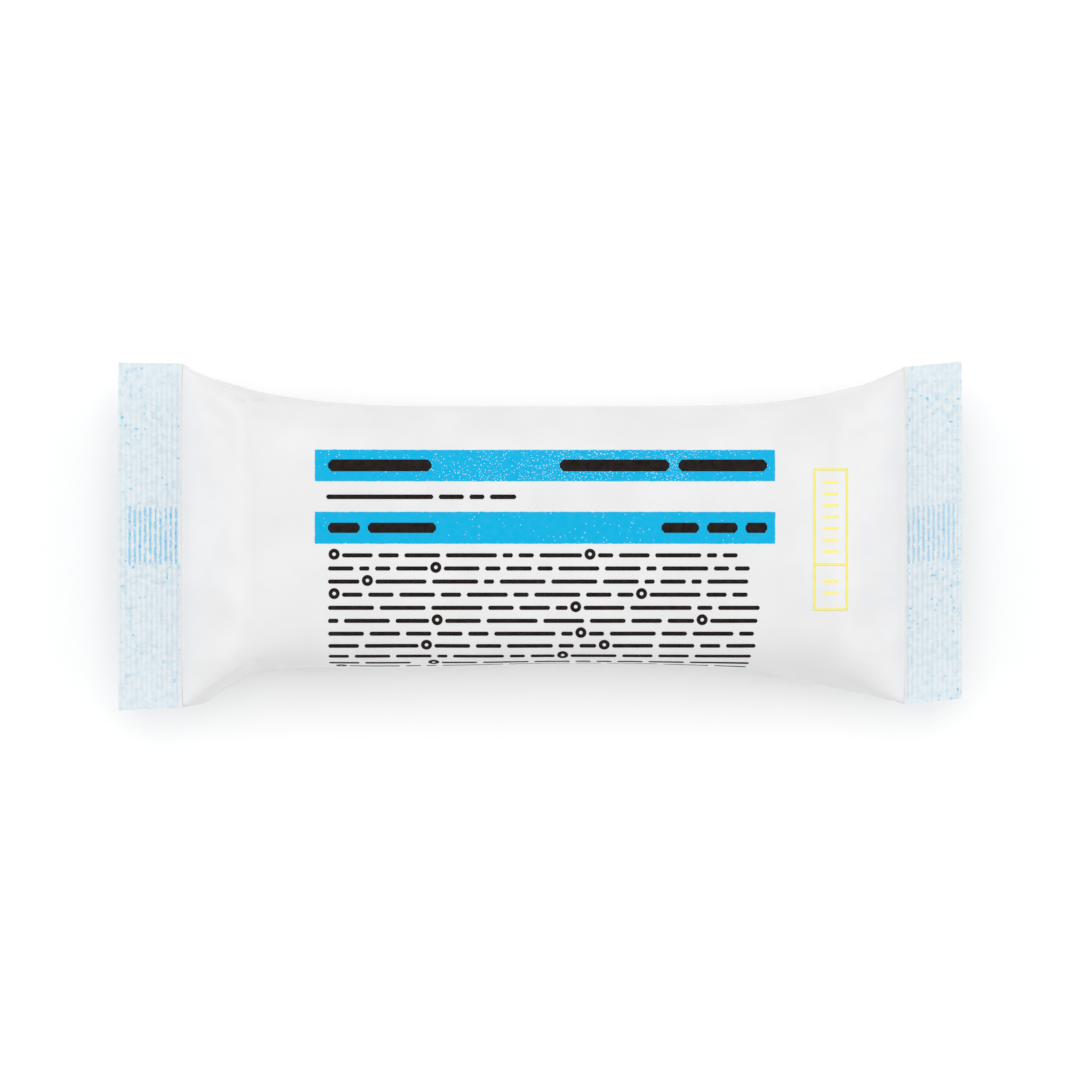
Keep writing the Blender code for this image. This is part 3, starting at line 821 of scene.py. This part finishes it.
class PACKET_OT_end_seals(bpy.types.Operator):
    """The two crimped ends: ribs, pressed spots, and stripes where the back seam runs in"""

    bl_idname = "packet.end_seals"
    bl_label = "End seals"

    def execute(self, context):
        settings = context.scene.packet_seals
        for end in (LEFT, RIGHT):
            material = seal_material(settings, end)
            values = {
                "Length": end.seal_length,
                "Width": end.seal_width,
                "Thickness": LAYERS,
                "Rib height": settings.rib_height,
                "Seam width": SEAM_WIDTH,
                "Seam thickness": LAYERS,
            }
            mesh = grown(seal_tree(end, material), values)
            smooth(mesh, 50)
            finish(mesh, end.name + "_crimped_end", material, [end.name + "_end_seal"])
        return {"FINISHED"}


def seal_tree(end, material):
    """The tree of one crimped end, flat on the seals' level and running outwards from its seal line."""
    inputs = {"Length": 0.01, "Width": 0.06, "Thickness": 0.001, "Rib height": 0.0002}
    inputs |= {"Seam width": 0.01, "Seam thickness": 0.001}
    tree, given = new_tree(end.name + " crimped end", inputs)
    length = given["Length"]
    size = vector(tree, length, given["Width"], given["Thickness"])
    inputs = {"Size": size, "Vertices X": 150, "Vertices Y": 120, "Vertices Z": 2}
    band = add_node(tree, "GeometryNodeMeshCube", inputs).outputs[0]
    x, y, z = coordinates(tree)
    out = plus(tree, x, times(tree, length, 0.5))
    to_edge = calc(tree, "MINIMUM", out, minus(tree, length, out))
    flat_edge = between(tree, to_edge, 0.0, 0.0005)
    seam_edge = minus(tree, calc(tree, "ABSOLUTE", y), times(tree, given["Seam width"], 0.5))
    seam = between(tree, seam_edge, -0.0003, 0.0001, 1.0, 0.0)
    # The ribs are higher where the seam adds its layers
    height = times(tree, given["Rib height"], plus(tree, times(tree, seam, 0.25), 0.5))
    raised = times(tree, times(tree, ribs(tree, out, end), height), flat_edge)
    below = calc(tree, "LESS_THAN", z, 0.0)
    hang = times(tree, times(tree, below, seam), given["Seam thickness"])
    level = plus(tree, minus(tree, plus(tree, z, raised), hang), SEAL_LEVEL)
    band = kept(tree, band, "out", out)
    band = kept(tree, band, "across", y)
    share = over(tree, out, length)
    growth = times(tree, share, end.spread / end.seal_width)
    wider = times(tree, y, plus(tree, growth, 1.0))
    to_y = plus(tree, wider, times(tree, share, end.shift))
    to_x = plus(tree, times(tree, out, end.side), end.seal_line)
    band = moved(tree, band, to_x, to_y, level)
    if end.side < 0:
        band = add_node(tree, "GeometryNodeFlipFaces", {0: band}).outputs[0]
    end_tree(tree, band, material)
    return tree


class PACKET_OT_back_seam(bpy.types.Operator):
    """The welded seam along the back, with the fine cross ribs of its welding wheels"""

    bl_idname = "packet.back_seam"
    bl_label = "Back seam"

    def execute(self, context):
        settings = context.scene.packet_film
        start, end = LEFT_SEAL_LINE + LAYERS, RIGHT_SEAL_LINE - LAYERS
        x = np.linspace(start, end, 520)
        swell = np.minimum(film_columns(x)[2], 1.0)
        roof = SEAL_LEVEL - SLOT_HALF - swell * (BODY_THICKNESS / 2 - SLOT_HALF)
        slope = np.gradient(roof, x)
        along = np.hypot(1.0, slope)
        across = np.linspace(-SEAM_WIDTH / 2, SEAM_WIDTH / 2, 13)
        rib_pitch, rib_height = 0.00098, 0.00005
        relief = rib_height * (np.cos(2 * np.pi * x / rib_pitch) - 1)
        layers = []
        for deep in (GAP + LAYERS + relief, np.full_like(x, GAP)):
            places = zip(x + slope / along * deep, roof - deep / along)
            layers.append([[(u, v, w) for v in across] for u, w in places])
        mesh = grid_mesh("seam", layers, rings=False)
        smooth(mesh, 40)
        finish(mesh, "seam", bpy.data.materials["white_film"], ["back_seam"])
        return {"FINISHED"}


def bar_tree(material, film):
    """A printed bar with a slightly rough edge, draped on the film."""
    inputs = {"Length": 0.08, "Height": 0.005, "Across": 0.0, "Along": 0.0}
    tree, given, thickness = print_tree("Printed bar", film, inputs)
    size = vector(tree, given["Length"], given["Height"], thickness)
    inputs = {"Size": size, "Vertices X": 330, "Vertices Y": 14, "Vertices Z": 2}
    bar = add_node(tree, "GeometryNodeMeshCube", inputs).outputs[0]
    x, y, _ = coordinates(tree)
    at_side = calc(tree, "GREATER_THAN", calc(tree, "ABSOLUTE", over(tree, y, given["Height"])), 0.49)
    at_end = calc(tree, "GREATER_THAN", calc(tree, "ABSOLUTE", over(tree, x, given["Length"])), 0.499)
    grain = noise(tree, vector(tree, x, y, given["Across"]), 2600.0, 3.0)
    rough = between(tree, grain, 0.25, 0.75, -0.00007, 0.00007)
    to_x = plus(tree, plus(tree, x, times(tree, rough, at_end)), given["Along"])
    to_y = plus(tree, plus(tree, y, times(tree, rough, at_side)), given["Across"])
    return printed(tree, given, bar, to_x, to_y, material)


def pinhole_tree(material, film):
    """Tiny spots that the ink missed, in drifts along a bar."""
    inputs = {"Length": 0.08, "Height": 0.005, "Across": 0.0, "Along": 0.0}
    tree, given, _ = print_tree("Pinholes", film, inputs | {"Radius": 0.00006, "Density": 4.0, "Seed": 3})
    sizes = {"Size X": given["Length"], "Size Y": given["Height"], "Vertices X": 120, "Vertices Y": 8}
    sheet = add_node(tree, "GeometryNodeMeshGrid", sizes).outputs[0]
    x, y, _ = coordinates(tree)
    drift = between(tree, noise(tree, vector(tree, x, y, given["Across"]), 190.0, 3.0), 0.36, 0.72)
    middle = between(tree, calc(tree, "ABSOLUTE", minus(tree, x, 0.008)), 0.014, 0.032, 1.0, 0.10)
    density = times(tree, times(tree, drift, middle), times(tree, given["Density"], 1e6))
    inputs = {0: sheet, "Density": density, "Seed": given["Seed"]}
    points = add_node(tree, "GeometryNodeDistributePointsOnFaces", inputs).outputs[0]
    inputs = {"Vertices": 6, "Radius": given["Radius"], "Depth": given["Lift"]}
    dot = add_node(tree, "GeometryNodeMeshCylinder", inputs).outputs[0]
    scale = add_node(tree, "FunctionNodeRandomValue", {2: 0.5, 3: 1.5, "Seed": given["Seed"]}).outputs[1]
    dots = placed(tree, points, dot, vector(tree, scale, scale, 1.0))
    x, y, _ = coordinates(tree)
    to_x, to_y = plus(tree, x, given["Along"]), plus(tree, y, given["Across"])
    return printed(tree, given, dots, to_x, to_y, material)


def placed(tree, points, instance, scale=(1.0, 1.0, 1.0)):
    """A copy of something on each point, as real mesh."""
    inputs = {"Points": points, "Instance": instance, "Scale": scale}
    copies = add_node(tree, "GeometryNodeInstanceOnPoints", inputs).outputs[0]
    return add_node(tree, "GeometryNodeRealizeInstances", {0: copies}).outputs[0]


def dash_tree(material, film):
    """Dashes with clipped corners, one on each point, as long and as high as the point says."""
    tree, given, thickness = print_tree("Dashes", film, {})
    size = vector(tree, 1.0, 1.0, thickness)
    inputs = {"Size": size, "Vertices X": 13, "Vertices Y": 4, "Vertices Z": 2}
    block = add_node(tree, "GeometryNodeMeshCube", inputs).outputs[0]
    x, y, _ = coordinates(tree)
    at_side = calc(tree, "GREATER_THAN", calc(tree, "ABSOLUTE", y), 0.49)
    at_end = calc(tree, "GREATER_THAN", calc(tree, "ABSOLUTE", x), 0.49)
    block = kept(tree, block, "corner", times(tree, at_side, times(tree, at_end, calc(tree, "SIGN", x))))
    rise = recalled(tree, "rise")
    points = add_node(tree, "GeometryNodeMeshToPoints", {0: given["Geometry"]}).outputs[0]
    dashes = placed(tree, points, block, vector(tree, recalled(tree, "run"), rise, 1.0))
    x, y, _ = coordinates(tree)
    clip = times(tree, recalled(tree, "corner"), rise, 0.3)
    return printed(tree, given, dashes, minus(tree, x, clip), y, material)


def mark_tree(material, film):
    """Small round marks with an open middle, one on each point."""
    tree, given, thickness = print_tree("Round marks", film, {"Radius": 0.0007, "Band": 0.0006})
    inputs = {"Resolution": 24, "Radius": given["Radius"]}
    circle = add_node(tree, "GeometryNodeCurvePrimitiveCircle", inputs).outputs[0]
    profile = rectangle(tree, given["Band"], thickness)
    ring = add_node(tree, "GeometryNodeCurveToMesh", {0: circle, 1: profile}).outputs[0]
    points = add_node(tree, "GeometryNodeMeshToPoints", {0: given["Geometry"]}).outputs[0]
    marks = placed(tree, points, ring)
    x, y, _ = coordinates(tree)
    return printed(tree, given, marks, x, y, material)


def rectangle(tree, width, height):
    inputs = {"Width": width, "Height": height}
    return add_node(tree, "GeometryNodeCurvePrimitiveQuadrilateral", inputs).outputs[0]


def frame_tree(material, film):
    """An upright outline of two cells, draped on the film."""
    inputs = {"Width": 0.006, "Height": 0.025, "Across": 0.0, "Along": 0.0, "Divider": 0.005, "Line": 0.0004}
    tree, given, thickness = print_tree("Outline frame", film, inputs)
    profile = rectangle(tree, given["Line"], thickness)
    outline = rectangle(tree, given["Width"], given["Height"])
    half = times(tree, given["Width"], 0.5)
    start = vector(tree, times(tree, half, -1.0), given["Divider"], 0.0)
    stop = vector(tree, half, given["Divider"], 0.0)
    divider = add_node(tree, "GeometryNodeCurvePrimitiveLine", {0: start, 1: stop}).outputs[0]
    joined = tree.nodes.new("GeometryNodeJoinGeometry")
    for curve in (outline, divider):
        fine = add_node(tree, "GeometryNodeSubdivideCurve", {0: curve, "Cuts": 24}).outputs[0]
        inputs = {0: fine, 1: profile, "Fill Caps": True}
        tree.links.new(add_node(tree, "GeometryNodeCurveToMesh", inputs).outputs[0], joined.inputs[0])
    x, y, _ = coordinates(tree)
    to_x, to_y = plus(tree, x, given["Along"]), plus(tree, y, given["Across"])
    return printed(tree, given, joined.outputs[0], to_x, to_y, material)


def point_mesh(rows):
    """A mesh of loose points with a run and a rise each, from rows of (x, y, run, rise)."""
    mesh = bpy.data.meshes.new("points")
    mesh.from_pydata([(x, y, 0.0) for x, y, _, _ in rows], [], [])
    for name, column in (("run", 2), ("rise", 3)):
        stored = mesh.attributes.new(name, "FLOAT", "POINT")
        stored.data.foreach_set("value", [row[column] for row in rows])
    return mesh


# Places of the print on the film: along the packet, and round the film from the middle of its upper face
BAR_MIDDLE = 0.00088
UPPER_BAR = 0.01235
LOWER_BAR = 0.00135
TEXT_LEFT = -0.0373
TEXT_INSET = 0.0014
SLOGAN_LEVEL = 0.0068
FIRST_LINE = -0.0035
FRAME_ALONG = 0.0512
FRAME_ACROSS = -0.0007


def words(rng, start, stop, letter):
    """Word lengths that fill a stretch from start to stop, as (left, right)."""
    found = []
    left = start
    while stop - left > 2 * letter:
        length = rng.choice((2, 3, 4, 5, 5, 6, 7, 7, 8, 9, 10, 12)) * letter
        right = min(left + length, stop)
        if stop - right < 2 * letter:
            right = stop
        found.append((left, right))
        left = right + 1.1 * letter
    return found


def small_print(settings):
    """The dashes of the small print as (x, y, run, rise), and its round marks."""
    rng = random.Random(settings.seed)
    letter, rise, mark_room = 0.0009, 0.00074, 0.0014
    dashes, marks = [], []
    for number, line in enumerate(SMALL_PRINT):
        level = FIRST_LINE - number * settings.line_pitch
        left = TEXT_LEFT
        stops = [TEXT_LEFT + share * settings.block_width for share in line.marks]
        for mark in stops:
            for a, b in words(rng, left, mark - mark_room, letter):
                dashes.append(((a + b) / 2, level, b - a, rise))
            marks.append((mark, level + 0.0002, 1.0, 1.0))
            left = mark + mark_room
        for a, b in words(rng, left, TEXT_LEFT + line.length * settings.block_width, letter):
            dashes.append(((a + b) / 2, level, b - a, rise))
    return dashes, marks


def headings(settings):
    """Heavier dashes in the bars and the line between them, as (x, y, run, rise)."""
    left, right = TEXT_LEFT, BAR_MIDDLE + settings.bar_length / 2 - TEXT_INSET
    upper = [(left, left + 0.0182), (right - 0.0365, right - 0.0172), (right - 0.0156, right)]
    lower = [(left, left + 0.0056), (left + 0.0070, left + 0.0190)]
    lower += [(right - 0.0186, right - 0.0120), (right - 0.0106, right - 0.0052), (right - 0.0038, right)]
    slogan = [(-0.0376, -0.0188), (-0.0178, -0.0134), (-0.0124, -0.0098), (-0.0088, -0.0042)]
    lines = ((UPPER_BAR, 0.0021, upper), (LOWER_BAR, 0.0018, lower), (SLOGAN_LEVEL, 0.0008, slogan))
    return [((a + b) / 2, level, b - a, rise) for level, rise, spans in lines for a, b in spans]


class PACKET_OT_bars(bpy.types.Operator):
    """The two printed bars, and the pinholes that the ink missed"""

    bl_idname = "packet.bars"
    bl_label = "Printed bars"

    def execute(self, context):
        settings = context.scene.packet_print
        film = bpy.data.objects["film"]
        ink = ink_material("bar_ink", settings.bar_colour, 0.01)
        bare = ink_material("bare_spot", linear(205, 226, 234), 0.1)
        bars = bar_tree(ink, film)
        holes = pinhole_tree(bare, film)
        for name, across, seed, density in (("upper", UPPER_BAR, 3, 9.0), ("lower", LOWER_BAR, 8, 1.1)):
            shared = {
                "Film": film,
                "Length": settings.bar_length,
                "Height": settings.bar_height,
                "Across": across,
                "Along": BAR_MIDDLE,
            }
            mesh = grown(bars, shared | INK)
            finish(mesh, name + "_bar", ink)
            spots = {"Radius": 0.000065, "Lift": 0.00004, "Root": 0.0, "Density": density, "Seed": seed}
            mesh = grown(holes, shared | spots)
            finish(mesh, name + "_bar_pinholes", bare)
        return {"FINISHED"}


class PACKET_OT_small_print(bpy.types.Operator):
    """Plain dashes and round marks in the place of all wording"""

    bl_idname = "packet.small_print"
    bl_label = "Dashes"

    def execute(self, context):
        settings = context.scene.packet_print
        film = bpy.data.objects["film"]
        ink = ink_material("dash_ink", settings.text_colour, 0.01)
        tree = dash_tree(ink, film)
        dashes, marks = small_print(settings)
        mesh = grown(tree, {"Film": film} | INK, point_mesh(dashes))
        finish(mesh, "small_print_dashes", ink)
        mesh = grown(tree, {"Film": film, "Lift": 0.00006, "Root": 0.00001}, point_mesh(headings(settings)))
        finish(mesh, "heading_dashes", ink)
        rounds = mark_tree(ink, film)
        mesh = grown(rounds, {"Film": film, "Radius": 0.00065, "Band": 0.00065} | INK, point_mesh(marks))
        finish(mesh, "round_marks", ink)
        return {"FINISHED"}


class PACKET_OT_outline_frame(bpy.types.Operator):
    """The small upright frame of two cells, with plain dashes in them"""

    bl_idname = "packet.outline_frame"
    bl_label = "Outline frame"

    def execute(self, context):
        settings = context.scene.packet_print
        film = bpy.data.objects["film"]
        ink = ink_material("frame_ink", settings.frame_colour, 0.1)
        width, height, divider = 0.0058, 0.0247, -0.0044
        values = {"Film": film, "Width": width, "Height": height, "Divider": divider, "Line": 0.00045}
        values |= {"Across": FRAME_ACROSS, "Along": FRAME_ALONG}
        mesh = grown(frame_tree(ink, film), values | INK)
        finish(mesh, "outline_frame", ink)
        pitch, run, rise = 0.00203, 0.0028, 0.0005
        rows = []
        for middle, count in (((height / 2 + divider) / 2, 7), ((divider - height / 2) / 2, 2)):
            levels = (middle + (k - (count - 1) / 2) * pitch for k in range(count))
            rows += [(FRAME_ALONG, FRAME_ACROSS + level, run, rise) for level in levels]
        mesh = grown(dash_tree(ink, film), {"Film": film} | INK, point_mesh(rows))
        finish(mesh, "frame_dashes", ink)
        return {"FINISHED"}


def roll_points():
    """The gauze strip's centreline as (y, z), wound from the inside out, and its thickness."""
    low, high = ROLL_LOW.z, ROLL_HIGH.z
    middle, half_height, half_width = (low + high) / 2, (high - low) / 2, (ROLL_HIGH.y - ROLL_LOW.y) / 2
    layer, spacing, turns, steps = 0.00028, 0.00040, 13, 72
    line = []
    for k in range(turns * steps + 1):
        angle = 2 * math.pi * k / steps
        inset = layer / 2 + spacing * (turns - k / steps)
        c, s = math.cos(angle), math.sin(angle)
        power = 2 / (BODY_SQUARENESS * (ROLL_CROWN if s > 0 else ROLL_BED))
        y = (half_width - inset) * math.copysign(abs(c) ** power, c)
        z = middle + (half_height - inset) * math.copysign(abs(s) ** power, s)
        line.append((y, z))
    return np.array(line), layer


def pad_points():
    """The pad's centreline as (y, z), folded in three like a letter under the film's crown."""
    half_width, up, power = BODY_WIDTH / 2 - FILM - GAP, PAD_HIGH.z - SEAL_LEVEL, BODY_SQUARENESS
    pitch, steps, bends = PAD_LAYER + GAP, 48, 10
    reach = PAD_HIGH.y - (pitch + PAD_LAYER) / 2

    def level(y, depth):
        return SEAL_LEVEL - depth + up * (1 - abs(y / half_width) ** power) ** (1 / power)

    line = []
    for layer in range(PAD_LAYERS):
        direction = 1 if layer % 2 == 0 else -1
        depth = PAD_LAYER / 2 + pitch * layer
        line += [(y, level(y, depth)) for y in direction * reach * np.linspace(-1, 1, steps)]
        if layer < PAD_LAYERS - 1:
            middle = level(reach, depth + pitch / 2)
            for angle in np.linspace(0, math.pi, bends + 1)[1:-1]:
                across = direction * (reach + pitch / 2 * math.sin(angle))
                line.append((across, middle + pitch / 2 * math.cos(angle)))
    return np.array(line)


def soft_edge(distance, radius):
    """The share of a pad's thickness at a distance from its edge, rounded over a radius."""
    inside = 1 - np.clip(distance / radius, 0, 1)
    return 0.15 + 0.85 * np.sqrt(1 - inside**2)


def banded(line, thickness, stations):
    """Two layers of points, half a thickness to both sides of a line of (y, z), at each station along X.

    The thickness is one value, or a table with a row for each point of the line and a column a station.
    """
    step = np.gradient(line, axis=0)
    step /= np.linalg.norm(step, axis=1, keepdims=True)
    normal = np.column_stack([step[:, 1], -step[:, 0]])
    offsets = np.broadcast_to(thickness, (len(line), len(stations)))
    layers = []
    for side in (-0.5, 0.5):
        profile = line[:, None] + normal[:, None] * offsets[..., None] * side
        layers.append([[(x, *point) for x, point in zip(stations, row)] for row in profile])
    return layers


class PACKET_OT_bandage_roll(bpy.types.Operator):
    """The flattened roll of gauze bandage inside the film"""

    bl_idname = "packet.bandage_roll"
    bl_label = "Bandage roll"

    def execute(self, context):
        settings = context.scene.packet_contents
        line, layer = roll_points()
        stations = np.linspace(ROLL_LOW.x, ROLL_HIGH.x, 26)
        mesh = grid_mesh("gauze_roll", banded(line, layer, stations), rings=False)
        smooth(mesh, 60)
        gauze = weave_material("gauze", settings.gauze_colour, 0.0009, 0.0001)
        finish(mesh, "gauze_roll", gauze, ["bandage_roll"])
        return {"FINISHED"}


class PACKET_OT_wound_pad(bpy.types.Operator):
    """The wound pad, folded in three like a letter on top of the roll"""

    bl_idname = "packet.wound_pad"
    bl_label = "Wound pad"

    def execute(self, context):
        settings = context.scene.packet_contents
        line = pad_points()
        run = np.concatenate([[0.0], np.cumsum(np.hypot(*np.diff(line, axis=0).T))])
        along = np.linspace(0.0, 1.0, 90)
        # The stations lie closer together towards both ends
        along -= 0.12 * np.sin(2 * math.pi * along) / math.pi
        stations = PAD_LOW.x + (PAD_HIGH.x - PAD_LOW.x) * along
        to_side = np.minimum(run, run[-1] - run)[:, None]
        to_end = np.minimum(stations - PAD_LOW.x, PAD_HIGH.x - stations)[None]
        over_run, over_length = (np.sin(math.pi * way / settings.quilt_pitch) for way in (run, stations))
        quilting = over_run[:, None] * over_length
        edges = soft_edge(to_side, PAD_LAYER / 2) * soft_edge(to_end, PAD_LAYER / 2)
        thickness = PAD_LAYER * edges * (1 - settings.quilt_depth * quilting**2)
        mesh = grid_mesh("folded_wound_pad", banded(line, thickness, stations), rings=False)
        smooth(mesh, 60)
        dressing = weave_material("wound_dressing", settings.pad_colour, 0.0006, 0.00005)
        piece = finish(mesh, "folded_wound_pad", dressing, ["wound_pad"])
        return {"FINISHED"}


class PACKET_OT_stage(bpy.types.Operator):
    """The pale floor, the soft studio lights and the camera straight above"""

    bl_idname = "packet.stage"
    bl_label = "Stage"

    def execute(self, context):
        scene = context.scene
        floor_mesh = bpy.data.meshes.new("floor")
        reach = 4.0
        corners = [(-reach, -reach, 0), (reach, -reach, 0), (reach, reach, 0), (-reach, reach, 0)]
        floor_mesh.from_pydata(corners, [], [(0, 1, 2, 3)])
        floor = bpy.data.objects.new("floor", floor_mesh)
        scene.collection.objects.link(floor)
        paper, _, shader, _ = new_material("paper", (0.97, 0.97, 0.97), 1.0)
        shader.inputs["Specular IOR Level"].default_value = 0.0
        floor_mesh.materials.append(paper)
        for name, place, size, power in (
            ("overhead", (0.0, 0.42, 1.05), 0.9, 2.6),
            ("left", (-1.0, 0.1, 0.5), 0.7, 2.8),
            ("right", (1.0, 0.1, 0.5), 0.7, 2.8),
        ):
            light = bpy.data.lights.new(name, "AREA")
            light.size = size
            light.energy = power
            made = bpy.data.objects.new(name, light)
            made.location = place
            made.rotation_euler = (-Vector(place)).to_track_quat("-Z", "Y").to_euler()
            scene.collection.objects.link(made)
        world = bpy.data.worlds.new("studio")
        world.use_nodes = True
        background = world.node_tree.nodes["Background"]
        background.inputs["Color"].default_value = (1.0, 1.0, 1.0, 1.0)
        background.inputs["Strength"].default_value = 0.79
        scene.world = world
        scene.view_settings.view_transform = "Standard"
        camera_data = bpy.data.cameras.new("camera")
        camera_data.lens = 200.0
        picture_width = 0.19218  # what the picture shows at the seals' level
        distance = picture_width * camera_data.lens / camera_data.sensor_width
        camera_data.clip_end = 20.0
        camera = bpy.data.objects.new("camera", camera_data)
        camera.location = (0.0, -0.0008, SEAL_LEVEL + distance)
        scene.collection.objects.link(camera)
        scene.camera = camera
        return {"FINISHED"}


class PACKET_PT_panel(bpy.types.Panel):
    """Lists the packet's settings and pieces"""

    bl_idname = "PACKET_PT_panel"
    bl_label = "Bandage packet"
    bl_space_type = "VIEW_3D"
    bl_region_type = "UI"
    bl_category = "Packet"

    def draw(self, context):
        for name, group in SETTINGS:
            box = self.layout.box()
            for prop in group.__annotations__:
                box.prop(getattr(context.scene, name), prop)
        for operator in OPERATORS:
            self.layout.operator(operator.bl_idname)


SETTINGS = (
    ("packet_film", FilmSettings),
    ("packet_seals", SealSettings),
    ("packet_print", PrintSettings),
    ("packet_contents", ContentsSettings),
)
OPERATORS = (
    PACKET_OT_film,
    PACKET_OT_back_seam,
    PACKET_OT_end_seals,
    PACKET_OT_bars,
    PACKET_OT_small_print,
    PACKET_OT_outline_frame,
    PACKET_OT_bandage_roll,
    PACKET_OT_wound_pad,
    PACKET_OT_stage,
)


def register():
    for name, group in SETTINGS:
        bpy.utils.register_class(group)
        setattr(bpy.types.Scene, name, PointerProperty(type=group))
    for made in (*OPERATORS, PACKET_PT_panel):
        bpy.utils.register_class(made)


def unregister():
    for made in (PACKET_PT_panel, *reversed(OPERATORS)):
        bpy.utils.unregister_class(made)
    for name, group in reversed(SETTINGS):
        delattr(bpy.types.Scene, name)
        bpy.utils.unregister_class(group)


def main():
    register()
    for operator in OPERATORS:
        area, verb = operator.bl_idname.split(".")
        getattr(getattr(bpy.ops, area), verb)()


if __name__ == "__main__":
    main()
